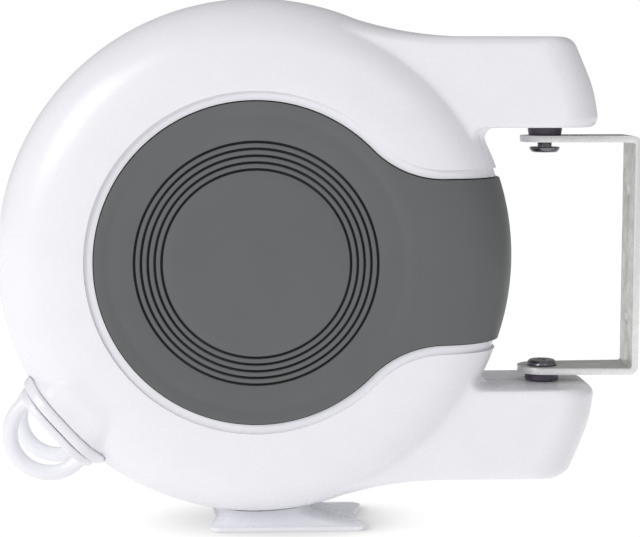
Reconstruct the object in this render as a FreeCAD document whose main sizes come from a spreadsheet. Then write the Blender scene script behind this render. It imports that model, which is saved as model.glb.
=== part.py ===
import FreeCAD, Part, Sketcher
import math
import os

# Retractable clothesline with two lines on a swivelling wall bracket. Lengths are in mm.
# +Z is up and +X points at the wall. The origin is the middle of the bracket's face on the wall.
# Parts of the reel are drawn about the reel's own centre and placed there.

Vector = FreeCAD.Vector
Rotation = FreeCAD.Rotation

SIZES = {
    # housing
    "wall_to_reel": 149.0,
    "reel_radius": 98.8,
    "half_depth": 34.5,
    "flat_front_radius": 64.2,
    "shoulder_radius": 70.0,
    "shoulder_angle": 14.0,
    "ledge_depth": 1.0,
    "panel_seat_depth": 2.6,
    "cavity_radius": 94.0,
    "cavity_half_depth": 29.9,
    "cavity_corner": 18.0,
    # arms
    "arm_inner": 50.1,
    "arm_outer": 84.5,
    "arm_half_depth": 25.0,
    "arm_end_inner": 132.3,
    "arm_end_outer": 121.5,
    "arm_end_corner": 16.0,
    "arm_inner_round": 3.5,
    "arm_outer_round": 7.0,
    "arm_sweep_radius": 101.0,
    "arm_sweep_start": 42.0,
    "arm_sweep_end": 75.0,
    "arm_root": 30.0,
    "arm_root_drop": 5.0,
    "arm_end_bow": 60.0,
    "arm_wall": 3.0,
    "arm_room_start": 64.0,
    "arm_room_end": 100.0,
    # screw posts
    "post_radius": 5.0,
    "post_depth": 24.5,
    "axle_boss_radius": 9.0,
    "axle_boss_base": 26.0,
    "access_radius": 3.5,
    # grey panel
    "panel_radius": 60.4,
    "panel_band_half": 31.0,
    "panel_flare": 38.0,
    "ledge_width": 3.8,
    "panel_gap": 0.3,
    "panel_sink": 0.1,
    "groove_outer": 45.9,
    "groove_pitch": 2.54,
    "groove_width": 1.1,
    "groove_depth": 0.7,
    # pivot and bracket
    "wall_to_pivot": 36.0,
    "pivot_hole": 2.85,
    "pivot_shank": 2.75,
    "screw_head": 5.95,
    "screw_head_height": 2.1,
    "screw_proud": 2.0,
    "bush_radius": 6.7,
    "bush_lip": 0.4,
    "sleeve_radius": 4.6,
    "sleeve_end": 62.0,
    "pivot_screw_end": 61.0,
    "seat_end": 65.0,
    "strip": 2.5,
    "bracket_half_height": 46.6,
    "bracket_bend": 3.5,
    "tab_nose": 9.7,
    "web_half_width": 11.3,
    "wall_hole": 2.75,
    "wall_hole_spacing": 50.0,
    # outlets and handles
    "outlet_angle": 42.0,
    "outlet_rise": 3.4,
    "line_side": 16.5,
    "line_radius": 1.5,
    "boss_length": 40.0,
    "boss_width": 64.0,
    "boss_root": 70.0,
    "boss_top": 95.5,
    "boss_corner": 15.0,
    "plate_length": 43.0,
    "plate_width": 66.0,
    "plate_thickness": 1.7,
    "plate_base": 95.6,
    "plate_corner": 16.0,
    "eyelet_radius": 4.4,
    "eyelet_bore": 1.9,
    "eyelet_start": 93.2,
    "eyelet_lip": 1.2,
    "line_joint": 94.6,
    "line_bend": 6.0,
    "handle_base": 97.8,
    "handle_flange": 3.2,
    "handle_length": 38.8,
    "handle_width": 31.0,
    "handle_corner": 14.5,
    "loop_root": 1.0,
    "loop_rise": 6.1,
    "knot_rise": 1.0,
    "loop_radius": 15.0,
    "loop_tube": 3.0,
    # drums
    "axle_radius": 5.0,
    "axle_half": 28.5,
    "drum_bore": 5.06,
    "drum_near": 2.0,
    "drum_far": 29.0,
    "drum_flange": 1.6,
    "drum_core": 36.0,
    "drum_rim": 62.0,
    "drum_wall": 2.5,
    "drum_web": 3.0,
    "collar_radius": 9.0,
    "collar_depth": 6.0,
    "divider_radius": 76.0,
    "divider_thickness": 1.6,
    "line_wound": 55.8,
    "line_clear": 58.7,
    "spring_thickness": 0.8,
    "spring_width": 16.0,
    "spring_inner": 8.0,
    "spring_pitch": 2.3,
    "spring_turns": 10.0,
    # cleats
    "cleat_root_z": 92.0,
    "cleat_neck_side": 6.5,
    "cleat_neck_thickness": 9.0,
    "cleat_neck_near": 22.0,
    "cleat_neck_far": 15.0,
    "cleat_rim_side": 17.0,
    "cleat_rim_near": 43.0,
    "cleat_rim_far": 18.4,
    "cleat_rim_z": 101.6,
    "cleat_rim_corner": 1.5,
    "cleat_lip": 3.5,
    "cleat_floor": 2.0,
    "cleat_groove_z": 98.6,
    "cleat_bottom": 105.5,
    # fasteners and fits
    "screw_radius": 1.5,
    "screw_seat": 10.0,
    "screw_tip": 14.0,
    "cleat_screw_end": 100.5,
    "cleat_screw_head_at": 93.0,
    "clearance": 0.1,
    "running_gap": 0.05,
}

# Tools that cut right through a part reach at least this far each way.
THROUGH = 60.0
BEYOND = 200.0

doc = FreeCAD.newDocument("clothesline")
sheet = doc.addObject("Spreadsheet::Sheet", "Sizes")
for row, (word, number) in enumerate(SIZES.items(), start=1):
    sheet.set("A%d" % row, word)
    sheet.set("B%d" % row, str(number))
    sheet.setAlias("B%d" % row, word)
doc.recompute()


class Size:
    """A number together with the sheet formula that it comes from."""

    def __init__(self, value, formula):
        self.value = value
        self.formula = formula

    def __add__(self, other):
        other = as_size(other)
        return Size(self.value + other.value, "(%s + %s)" % (self.formula, other.formula))

    def __sub__(self, other):
        other = as_size(other)
        return Size(self.value - other.value, "(%s - %s)" % (self.formula, other.formula))

    def __mul__(self, other):
        other = as_size(other)
        return Size(self.value * other.value, "(%s * %s)" % (self.formula, other.formula))

    def __truediv__(self, other):
        other = as_size(other)
        return Size(self.value / other.value, "(%s / %s)" % (self.formula, other.formula))

    def __rsub__(self, other):
        return as_size(other) - self

    def __neg__(self):
        return Size(-self.value, "(0 - %s)" % self.formula)


def as_size(value):
    if isinstance(value, Size):
        return value
    return Size(float(value), "%.6g" % value if value >= 0 else "(0 - %.6g)" % -value)


def size(word):
    return Size(SIZES[word], "Sizes.%s" % word)


def sine(angle):
    return Size(math.sin(math.radians(angle.value)), "sin(%s)" % angle.formula)


def cosine(angle):
    return Size(math.cos(math.radians(angle.value)), "cos(%s)" % angle.formula)


def leg(hypotenuse, side):
    """The other leg of a right-angled triangle."""
    value = math.sqrt(hypotenuse.value ** 2 - side.value ** 2)
    return Size(value, "sqrt(%s ^ 2 - %s ^ 2)" % (hypotenuse.formula, side.formula))


def bind(thing, prop, value):
    thing.setExpression(prop, as_size(value).formula)


# Sketches -----------------------------------------------------------------------------------

def attach(sketch, body, plane):
    for feature in body.Origin.OriginFeatures:
        if feature.Role == plane:
            sketch.AttachmentSupport = [(feature, "")]
            sketch.MapMode = "FlatFace"


def free_sketch(name, plane):
    """A sketch outside any body, on one of the three main planes."""
    sketch = doc.addObject("Sketcher::SketchObject", name)
    turn = {"XY_Plane": Rotation(), "XZ_Plane": Rotation(Vector(1, 0, 0), 90)}[plane]
    sketch.Placement = FreeCAD.Placement(Vector(), turn)
    return sketch


def arc_shape(start, end, radius):
    """The shorter arc between two points: a positive radius turns left, a negative one right."""
    chord = end - start
    normal = Vector(-chord.y, chord.x, 0).normalize()
    height = math.sqrt(max(radius ** 2 - chord.Length ** 2 / 4.0, 0.0))
    side = 1.0 if radius > 0 else -1.0
    centre = start + chord * 0.5 + normal * (height * side)
    first, last = (start, end) if radius > 0 else (end, start)
    angle_first = math.atan2(first.y - centre.y, first.x - centre.x)
    angle_last = math.atan2(last.y - centre.y, last.x - centre.x)
    circle = Part.Circle(centre, Vector(0, 0, 1), abs(radius))
    return Part.ArcOfCircle(circle, angle_first, angle_last)


def draw(sketch, corners, closed=True):
    """Joins corners (x, y) by lines, or by an arc into a corner (x, y, radius)."""
    corners = [tuple(as_size(value) for value in corner) for corner in corners]
    points = [Vector(corner[0].value, corner[1].value, 0) for corner in corners]
    count = len(corners)
    pieces = []
    for index in range(1, count + 1 if closed else count):
        start = points[index - 1]
        corner = corners[index % count]
        end = points[index % count]
        if len(corner) == 3:
            piece = sketch.addGeometry(arc_shape(start, end, corner[2].value))
            ends = (1, 2) if corner[2].value > 0 else (2, 1)
            radius = corner[2] if corner[2].value > 0 else -corner[2]
            at = sketch.addConstraint(Sketcher.Constraint("Radius", piece, radius.value))
            sketch.setExpression("Constraints[%d]" % at, radius.formula)
        else:
            piece = sketch.addGeometry(Part.LineSegment(start, end))
            ends = (1, 2)
        pieces.append((piece, ends))
    for index, (piece, ends) in enumerate(pieces):
        if closed or index > 0:
            before, before_ends = pieces[index - 1]
            sketch.addConstraint(
                Sketcher.Constraint("Coincident", before, before_ends[1], piece, ends[0]))
    fixed = [(piece, ends[0], corners[index]) for index, (piece, ends) in enumerate(pieces)]
    if not closed:
        fixed.append((pieces[-1][0], pieces[-1][1][1], corners[-1]))
    for piece, end, corner in fixed:
        for kind, value in (("DistanceX", corner[0]), ("DistanceY", corner[1])):
            at = sketch.addConstraint(
                Sketcher.Constraint(kind, -1, 1, piece, end, value.value))
            sketch.setExpression("Constraints[%d]" % at, value.formula)


def draw_circle(sketch, x, y, radius):
    x, y, radius = as_size(x), as_size(y), as_size(radius)
    circle = sketch.addGeometry(
        Part.Circle(Vector(x.value, y.value, 0), Vector(0, 0, 1), radius.value))
    for kind, value in (("DistanceX", x), ("DistanceY", y)):
        at = sketch.addConstraint(Sketcher.Constraint(kind, -1, 1, circle, 3, value.value))
        sketch.setExpression("Constraints[%d]" % at, value.formula)
    at = sketch.addConstraint(Sketcher.Constraint("Radius", circle, radius.value))
    sketch.setExpression("Constraints[%d]" % at, radius.formula)


def rounded_rectangle(half_x, half_y, corner):
    half_x, half_y, corner = as_size(half_x), as_size(half_y), as_size(corner)
    return [
        (half_x - corner, -half_y),
        (half_x, corner - half_y, corner),
        (half_x, half_y - corner),
        (half_x - corner, half_y, corner),
        (corner - half_x, half_y),
        (-half_x, half_y - corner, corner),
        (-half_x, corner - half_y),
        (corner - half_x, -half_y, corner),
    ]


# Features -----------------------------------------------------------------------------------

def add_body(label):
    body = doc.addObject("PartDesign::Body", label)
    body.Label = label
    return body


def body_sketch(body, name, plane, lift=None):
    sketch = body.newObject("Sketcher::SketchObject", name)
    attach(sketch, body, plane)
    if lift is not None:
        sketch.setExpression("AttachmentOffset.Base.z", as_size(lift).formula)
    return sketch


def pad(body, sketch, length, both_ways=False, reverse=False):
    feature = body.newObject("PartDesign::Pad", sketch.Name + "_pad")
    feature.Profile = sketch
    bind(feature, "Length", length)
    if both_ways:
        feature.SideType = "Symmetric"
    feature.Reversed = reverse
    return feature


def pocket(body, sketch, length, both_ways=False, reverse=False):
    feature = body.newObject("PartDesign::Pocket", sketch.Name + "_pocket")
    feature.Profile = sketch
    bind(feature, "Length", length)
    if both_ways:
        feature.SideType = "Symmetric"
    feature.Reversed = reverse
    return feature


def turned_body(label, corners):
    """A body turned about the Y axis from a profile of (radius, depth) corners."""
    body = add_body(label)
    sketch = body_sketch(body, label + "_profile", "XY_Plane")
    draw(sketch, corners)
    turn = body.newObject("PartDesign::Revolution", label + "_turn")
    turn.Profile = sketch
    turn.ReferenceAxis = (sketch, ["V_Axis"])
    turn.Angle = 360.0
    return body


def turned(name, corners):
    """A plain solid turned about the Y axis."""
    sketch = free_sketch(name + "_profile", "XY_Plane")
    draw(sketch, corners)
    solid = doc.addObject("Part::Revolution", name)
    solid.Source = sketch
    solid.Axis = Vector(0, 1, 0)
    solid.Angle = 360.0
    solid.Solid = True
    return solid


def extruded(name, corners, forward, backward=0.0):
    """A plain solid from an outline in the XZ plane: forward is towards -Y, the front."""
    sketch = free_sketch(name + "_outline", "XZ_Plane")
    draw(sketch, corners)
    solid = doc.addObject("Part::Extrusion", name)
    solid.Base = sketch
    solid.DirMode = "Normal"
    solid.Solid = True
    bind(solid, "LengthFwd", forward)
    bind(solid, "LengthRev", backward)
    return solid


def cut(label, base, tool):
    feature = doc.addObject("Part::Cut", label)
    feature.Base = base
    feature.Tool = tool
    feature.Label = label
    return feature


def fuse(label, shapes):
    feature = doc.addObject("Part::MultiFuse", label)
    feature.Shapes = shapes
    feature.Label = label
    return feature


def common(label, base, tool):
    feature = doc.addObject("Part::Common", label)
    feature.Base = base
    feature.Tool = tool
    feature.Label = label
    return feature


def mirrored(label, source, normal):
    feature = doc.addObject("Part::Mirroring", label)
    feature.Source = source
    feature.Normal = normal
    feature.Label = label
    return feature


def cylinder(name, radius, start, end, axis="Y", x=0.0, y=0.0, z=0.0):
    """A cylinder along an axis, from start to end on that axis."""
    solid = doc.addObject("Part::Cylinder", name)
    start, end = as_size(start), as_size(end)
    bind(solid, "Radius", radius)
    bind(solid, "Height", end - start)
    turn = {"X": Rotation(Vector(0, 1, 0), 90), "Y": Rotation(Vector(1, 0, 0), -90),
            "Z": Rotation()}[axis]
    place = {"X": x, "Y": y, "Z": z}
    place[axis] = start
    solid.Placement = FreeCAD.Placement(Vector(), turn)
    for word, value in place.items():
        bind(solid, "Placement.Base." + word.lower(), value)
    return solid


def fillet(label, base, picks):
    """Rounds the edges that each (test, radius) picks."""
    doc.recompute()
    rounds = []
    for number, edge in enumerate(base.Shape.Edges, start=1):
        for test, radius in picks:
            if test(edge):
                rounds.append((number, radius, radius))
                break
    feature = doc.addObject("Part::Fillet", label)
    feature.Base = base
    feature.Edges = rounds
    feature.Label = label
    return feature


def at_reel(feature):
    """Puts a part that is drawn about the reel's centre in its place."""
    bind(feature, "Placement.Base.x", -size("wall_to_reel"))
    return feature


def outlet_shift():
    """The outlet's middle lies a little above the line from the reel's centre."""
    angle, rise = size("outlet_angle"), size("outlet_rise")
    return -(rise * sine(angle)), rise * cosine(angle)


def lean_to_outlet(feature, y=0.0, x=0.0):
    """Turns a part drawn about +Z, so that +Z points out of the line outlet."""
    lean = size("outlet_angle") + 90.0
    shift_x, shift_z = outlet_shift()
    feature.Placement = FreeCAD.Placement(Vector(), Rotation(Vector(0, -1, 0), lean.value))
    bind(feature, "Placement.Rotation.Angle", lean)
    bind(feature, "Placement.Base.x", shift_x + x)
    bind(feature, "Placement.Base.y", y)
    bind(feature, "Placement.Base.z", shift_z)
    return feature


def at_outlet(feature, y=0.0):
    """As lean_to_outlet, with the reel in its place."""
    return lean_to_outlet(feature, y, -size("wall_to_reel"))


# Housing shells -----------------------------------------------------------------------------

def form_corners(inset):
    """Half profile of the round body, all its outside moved in by the inset."""
    inset = as_size(inset)
    angle = size("shoulder_angle")
    flat = size("flat_front_radius")
    big = size("shoulder_radius")
    small = (size("reel_radius") - flat - big * sine(angle)) / (as_size(1.0) - sine(angle))
    knee_r = flat + (big - inset) * sine(angle)
    knee_y = big * (as_size(1.0) - cosine(angle)) + inset * cosine(angle) - size("half_depth")
    side_y = knee_y + (small - inset) * cosine(angle)
    return [
        (0, 0),
        (size("reel_radius") - inset, 0),
        (size("reel_radius") - inset, side_y),
        (knee_r, knee_y, -(small - inset)),
        (flat, inset - size("half_depth"), -(big - inset)),
        (0, inset - size("half_depth")),
    ]


def keyhole(widen):
    """Outline of the grey panel: a disc with a band that runs to the right."""
    widen = as_size(widen)
    disc = size("panel_radius") + widen
    band = size("panel_band_half") + widen
    flare = size("panel_flare") - widen
    flare_z = band + flare
    flare_x = leg(disc + flare, flare_z)
    share = disc / (disc + flare)
    band_end = size("reel_radius") + 10.0
    return [
        (band_end, -band),
        (band_end, band),
        (flare_x, band),
        (flare_x * share, flare_z * share, -flare),
        (-disc, 0, disc),
        (flare_x * share, -(flare_z * share), disc),
        (flare_x, -band, -flare),
    ]


# The arm's outer edge sweeps down from the round body in one hollow curve.
sweep_x = size("arm_sweep_end")
sweep_radius = size("arm_sweep_radius")
lift_x = size("arm_sweep_start")
lift_z = size("arm_outer") + sweep_radius - leg(sweep_radius, sweep_x - lift_x)

arm_block = extruded("arm_block", [
    (size("arm_root"), size("arm_inner")),
    (size("arm_end_inner"), size("arm_inner")),
    (size("arm_end_outer"), size("arm_outer"), size("arm_end_bow")),
    (sweep_x, size("arm_outer")),
    (lift_x, lift_z, -sweep_radius),
    (size("arm_root"), size("arm_outer") - size("arm_root_drop")),
], size("arm_half_depth"))


def along_y_at_end(edge):
    box = edge.BoundBox
    end = box.XMin > SIZES["arm_end_outer"] - 1.0 and box.ZLength > 20.0
    return end and box.YMax < -SIZES["arm_half_depth"] + 0.1


def long_edge(edge):
    """An edge along the outside of the arm's front, neither at the seam nor inside the reel."""
    box = edge.BoundBox
    straight_across = box.YLength > SIZES["arm_half_depth"] - 1.0
    at_seam = box.YMin > -0.01
    at_root = box.XMax < SIZES["arm_root"] + 0.1
    return not straight_across and not at_seam and not at_root


def inner_edge(edge):
    return long_edge(edge) and abs(edge.BoundBox.ZMax - SIZES["arm_inner"]) < 0.01


def outer_edge(edge):
    box = edge.BoundBox
    return long_edge(edge) and box.ZMin > SIZES["arm_outer"] - 0.1 and box.XMin > lift_x.value - 0.1


arm_ended = fillet("arm_ended", arm_block, [(along_y_at_end, SIZES["arm_end_corner"])])
upper_arm = fillet("upper_arm", arm_ended, [(inner_edge, SIZES["arm_inner_round"]),
                                            (outer_edge, SIZES["arm_outer_round"])])
lower_arm = mirrored("lower_arm", upper_arm, Vector(0, 0, 1))

outlet_boss = add_body("outlet_boss")
boss_sketch = body_sketch(outlet_boss, "boss_outline", "XY_Plane", size("boss_root"))
draw(boss_sketch, rounded_rectangle(size("boss_length") / 2, size("boss_width") / 2,
                                    size("boss_corner")))
pad(outlet_boss, boss_sketch, size("boss_top") - size("boss_root"))
lean_to_outlet(outlet_boss)
plate_seat = add_body("plate_seat")
seat_sketch = body_sketch(plate_seat, "plate_seat_outline", "XY_Plane", size("boss_top"))
seat_edge = size("clearance") * 2
draw(seat_sketch, rounded_rectangle(size("plate_length") / 2 + seat_edge,
                                    size("plate_width") / 2 + seat_edge, size("plate_corner")))
pad(plate_seat, seat_sketch, THROUGH / 4)
lean_to_outlet(plate_seat)

reel_form = turned("reel_form", form_corners(0.0))
front_half_space = doc.addObject("Part::Box", "front_half_space")
front_half_space.Length = 2 * BEYOND
front_half_space.Width = BEYOND
front_half_space.Height = 2 * BEYOND
front_half_space.Placement = FreeCAD.Placement(Vector(-BEYOND, -BEYOND, -BEYOND), Rotation())
boss_front = common("boss_front", outlet_boss, front_half_space)
outer_form = cut("outer_form", fuse("outer_lumps", [reel_form, upper_arm, lower_arm, boss_front]),
                 plate_seat)

cavity = turned("cavity", [
    (0, 0),
    (size("cavity_radius"), 0),
    (size("cavity_radius"), size("cavity_corner") - size("cavity_half_depth")),
    (size("cavity_radius") - size("cavity_corner"), -size("cavity_half_depth"),
     -size("cavity_corner")),
    (0, -size("cavity_half_depth")),
])
arm_wall = size("arm_wall")
arm_cavity = extruded("arm_cavity", [
    (size("arm_room_start"), size("arm_inner") + arm_wall),
    (size("arm_room_end"), size("arm_inner") + arm_wall),
    (size("arm_room_end"), size("arm_outer") - arm_wall),
    (size("arm_room_start"), size("arm_outer") - arm_wall),
], size("arm_half_depth") - arm_wall)
arm_cavity_low = mirrored("arm_cavity_low", arm_cavity, Vector(0, 0, 1))
recess_outline = extruded("recess_outline", keyhole(size("ledge_width")), THROUGH)
ledge_form = turned("ledge_form", form_corners(size("ledge_depth")))
seat_outline = extruded("seat_outline", keyhole(size("panel_gap")), THROUGH)
seat_form = turned("seat_form", form_corners(size("panel_seat_depth")))
recess = fuse("recess", [cut("ledge_recess", recess_outline, ledge_form),
                         cut("seat_recess", seat_outline, seat_form)])

# Each screw post is (x, z) from the reel's centre: three near the rim and one in each arm.
POST_CIRCLE = 84.0
POST_ANGLES = (110, 170, 300)
ARM_POST = (84.0, 67.0)
screw_posts = [(POST_CIRCLE * math.cos(math.radians(angle)),
                POST_CIRCLE * math.sin(math.radians(angle))) for angle in POST_ANGLES]
screw_posts = screw_posts + [ARM_POST, (ARM_POST[0], -ARM_POST[1])]
clearance = size("clearance")
running_gap = size("running_gap")
screw_radius = size("screw_radius")
screw_way = screw_radius + clearance

post_solids = [cylinder("post", size("post_radius"), -size("post_depth"), 0.0, x=x, z=z)
               for x, z in screw_posts]
post_solids.append(cylinder("axle_boss", size("axle_boss_radius"),
                            size("cleat_floor") - size("half_depth"), -size("axle_boss_base")))
post_bores = [cylinder("post_bore", screw_way, -size("screw_tip") - 1.0, 1.0, x=x, z=z)
              for x, z in screw_posts]
pivot_x = size("wall_to_reel") - size("wall_to_pivot")
seat_radius = size("sleeve_radius") + clearance
seat_start = size("arm_inner") - 1.0
bush_seats = [
    cylinder("bush_seat_up", seat_radius, seat_start, size("seat_end"), "Z", x=pivot_x),
    cylinder("bush_seat_low", seat_radius, -size("seat_end"), -seat_start, "Z", x=pivot_x),
]
axle_seat = cylinder("axle_seat", size("axle_radius") + clearance,
                     -size("axle_half") - clearance * 2, 0.0)
# The cleat screws are at these places along X from the reel's centre.
CLEAT_SCREW_X = (-5.0, 13.0)
cleat_bores = [cylinder("cleat_bore", screw_way + clearance, -size("cleat_screw_end"),
                        4.0 - size("cleat_root_z"), "Z", x=x, y=-size("cleat_neck_side"))
               for x in CLEAT_SCREW_X]
eyelet_seat = size("eyelet_radius") + clearance * 1.5
eyelet_hole = doc.addObject("Part::Cylinder", "eyelet_hole")
bind(eyelet_hole, "Radius", eyelet_seat)
bind(eyelet_hole, "Height", size("boss_top") + 10.0)
lean_to_outlet(eyelet_hole, -size("line_side"))

hollow = fuse("hollow", [cavity, arm_cavity, arm_cavity_low])
shell_walls = cut("shell_walls", cut("shell_outside", outer_form, recess), hollow)
posts_inside = common("posts_inside", fuse("posts", post_solids), hollow)
shell_solid = fuse("shell_solid", [shell_walls, posts_inside])
shell_holes = fuse("shell_holes", post_bores + bush_seats + [axle_seat, eyelet_hole] + cleat_bores)
front_shell = at_reel(cut("front_shell", shell_solid, shell_holes))

rear_blank = mirrored("rear_blank", front_shell, Vector(0, 1, 0))
access_holes = []
for x, z in screw_posts:
    spot = -size("wall_to_reel") + x
    access_holes.append(cylinder("access", size("access_radius"), size("screw_seat"), THROUGH,
                                 x=spot, z=z))
    access_holes.append(cylinder("shank_way", screw_way, 0.0, THROUGH, x=spot, z=z))
rear_shell = cut("rear_shell", rear_blank, fuse("access_holes", access_holes))

# Grey panels --------------------------------------------------------------------------------

panel_face_y = size("panel_sink") - size("half_depth")
panel_outline = extruded("panel_outline", keyhole(0.0), THROUGH)
panel_outer = turned("panel_outer", form_corners(size("panel_sink")))
panel_inner = turned("panel_inner", form_corners(size("panel_seat_depth") - size("panel_gap")))
panel_skin = cut("panel_skin", panel_outer, panel_inner)
panel_plain = common("panel_plain", panel_skin, panel_outline)
ring_cuts = []
for index in range(5):
    radius = size("groove_outer") - size("groove_pitch") * index
    ring_cuts.append(turned("ring_cut_%d" % index, [
        (radius - size("groove_width"), panel_face_y - 1.0),
        (radius, panel_face_y - 1.0),
        (radius, panel_face_y + size("groove_depth")),
        (radius - size("groove_width"), panel_face_y + size("groove_depth")),
    ]))
front_panel = at_reel(cut("front_panel", panel_plain, fuse("ring_cuts", ring_cuts)))
rear_panel = mirrored("rear_panel", front_panel, Vector(0, 1, 0))

# Drums, springs and line --------------------------------------------------------------------

near, far, flange = size("drum_near"), size("drum_far"), size("drum_flange")
core, rim, bore = size("drum_core"), size("drum_rim"), size("drum_bore")
hub_wall, web = size("drum_wall"), size("drum_web")
collar, collar_depth = size("collar_radius"), size("collar_depth")
front_drum = at_reel(turned_body("front_drum", [
    (bore, -near),
    (bore, -near - collar_depth),
    (collar, -near - collar_depth),
    (collar, -near - web),
    (core - hub_wall, -near - web),
    (core - hub_wall, -far),
    (rim, -far),
    (rim, flange - far),
    (core, flange - far),
    (core, -near - flange),
    (rim, -near - flange),
    (rim, -near),
]))
rear_drum = mirrored("rear_drum", front_drum, Vector(0, 1, 0))

TURNS_ACROSS = 7
# The bulge of each turn of line: its radius as a share of the turn's width.
TURN_BULGE = 0.55
slot_far = far - flange - clearance * 2
slot_near = near + flange + clearance * 2
turn_width = (slot_far - slot_near) / TURNS_ACROSS
coil_inside, coil_outside = core + clearance * 2, size("line_wound")
coil_corners = [(coil_inside, -slot_near), (coil_inside, -slot_far), (coil_outside, -slot_far)]
for index in range(1, TURNS_ACROSS + 1):
    coil_corners.append((coil_outside, turn_width * index - slot_far, turn_width * TURN_BULGE))
front_line_coil = at_reel(turned_body("front_line_coil", coil_corners))
rear_line_coil = mirrored("rear_line_coil", front_line_coil, Vector(0, 1, 0))

spiral = doc.addObject("Part::Spiral", "spring_spiral")
bind(spiral, "Growth", size("spring_pitch"))
bind(spiral, "Rotations", size("spring_turns"))
bind(spiral, "Radius", size("spring_inner"))
spiral.Placement = FreeCAD.Placement(Vector(), Rotation(Vector(1, 0, 0), 90))
doc.recompute()
spiral_edges = range(1, len(spiral.Shape.Edges) + 1)
strip_sketch = doc.addObject("Sketcher::SketchObject", "spring_section")
spring_middle = (near + web + far) / 2
half_strip = size("spring_thickness") / 2
half_width = size("spring_width") / 2
draw(strip_sketch, [
    (size("spring_inner") - half_strip, -half_width),
    (size("spring_inner") + half_strip, -half_width),
    (size("spring_inner") + half_strip, half_width),
    (size("spring_inner") - half_strip, half_width),
])
front_mainspring = doc.addObject("Part::Sweep", "front_mainspring")
front_mainspring.Sections = [strip_sketch]
front_mainspring.Spine = (spiral, ["Edge%d" % number for number in spiral_edges])
front_mainspring.Solid = True
front_mainspring.Frenet = False
front_mainspring.Label = "front_mainspring"
at_reel(front_mainspring)
bind(front_mainspring, "Placement.Base.y", -spring_middle)
rear_mainspring = mirrored("rear_mainspring", front_mainspring, Vector(0, 1, 0))

drum_axle = at_reel(cylinder("drum_axle", size("axle_radius"), -size("axle_half"),
                             size("axle_half")))
divider = add_body("divider_plate")
divider_sketch = body_sketch(divider, "divider_outline", "XZ_Plane")
draw_circle(divider_sketch, 0, 0, size("divider_radius"))
draw_circle(divider_sketch, 0, 0, size("axle_radius") + clearance * 2)
pad(divider, divider_sketch, size("divider_thickness"), both_ways=True)
at_reel(divider)


def line_piece(label, corners, y):
    """A length of line: a circle swept along a route in the XZ plane."""
    body = add_body(label)
    route = body_sketch(body, label + "_route", "XZ_Plane")
    draw(route, corners, closed=False)
    section = body_sketch(body, label + "_section", "YZ_Plane")
    start_x, start_z = as_size(corners[0][0]), as_size(corners[0][1])
    draw_circle(section, 0, start_z, size("line_radius"))
    section.setExpression("AttachmentOffset.Base.z", start_x.formula)
    pipe = body.newObject("PartDesign::AdditivePipe", label + "_pipe")
    pipe.Profile = section
    pipe.Spine = route
    at_reel(body)
    bind(body, "Placement.Base.y", y)
    return body


# The line leaves the wound coil at its lowest point, runs level to the outlet and bends into it.
outlet = size("outlet_angle")
level_z = -size("line_clear")
shift_x, shift_z = outlet_shift()
meet_x = shift_x - (shift_z - level_z) / sine(outlet) * cosine(outlet)
bend = size("line_bend")
tangent = bend * sine(outlet / 2) / cosine(outlet / 2)
bend_start_x = meet_x + tangent
bend_end_x = meet_x - tangent * cosine(outlet)
bend_end_z = level_z - tangent * sine(outlet)
inner_end = size("line_joint")
front_line_inner = line_piece("front_line_inner", [
    (-clearance * 5, level_z),
    (bend_start_x, level_z),
    (bend_end_x, bend_end_z, bend),
    (shift_x - cosine(outlet) * inner_end, shift_z - sine(outlet) * inner_end),
], -size("line_side"))
rear_line_inner = mirrored("rear_line_inner", front_line_inner, Vector(0, 1, 0))

# Outlets and handles ------------------------------------------------------------------------

outlet_plate = add_body("outlet_plate")
plate_sketch = body_sketch(outlet_plate, "plate_outline", "XY_Plane", size("plate_base"))
draw(plate_sketch, rounded_rectangle(size("plate_length") / 2, size("plate_width") / 2,
                                     size("plate_corner")))
for side in (1, -1):
    draw_circle(plate_sketch, 0, size("line_side") * side, eyelet_seat)
pad(outlet_plate, plate_sketch, size("plate_thickness"))
at_outlet(outlet_plate)


def eyelet_body(label, y):
    body = add_body(label)
    sketch = body_sketch(body, label + "_profile", "XZ_Plane")
    outside, hole, lip = size("eyelet_radius"), size("eyelet_bore"), size("eyelet_lip")
    end = size("plate_base") + size("plate_thickness")
    draw(sketch, [
        (hole, size("eyelet_start")),
        (outside, size("eyelet_start")),
        (outside, end),
        (hole + lip, end),
        (hole, end - lip, lip),
    ])
    turn = body.newObject("PartDesign::Revolution", label + "_turn")
    turn.Profile = sketch
    turn.ReferenceAxis = (sketch, ["V_Axis"])
    turn.Angle = 360.0
    return at_outlet(body, y)


front_eyelet = eyelet_body("front_eyelet", -size("line_side"))
rear_eyelet = eyelet_body("rear_eyelet", size("line_side"))


def line_lead(label, y):
    """The end of a line, from inside its outlet to the knot in its handle."""
    body = add_body(label)
    sketch = body_sketch(body, label + "_profile", "XZ_Plane")
    knot = size("handle_base") + size("knot_rise")
    draw(sketch, [
        (0, inner_end + clearance * 2),
        (size("line_radius"), inner_end + clearance * 2),
        (size("line_radius"), knot),
        (0, knot),
    ])
    turn = body.newObject("PartDesign::Revolution", label + "_turn")
    turn.Profile = sketch
    turn.ReferenceAxis = (sketch, ["V_Axis"])
    turn.Angle = 360.0
    return at_outlet(body, y)


front_line_lead = line_lead("front_line_lead", -size("line_side"))
rear_line_lead = line_lead("rear_line_lead", size("line_side"))


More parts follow.
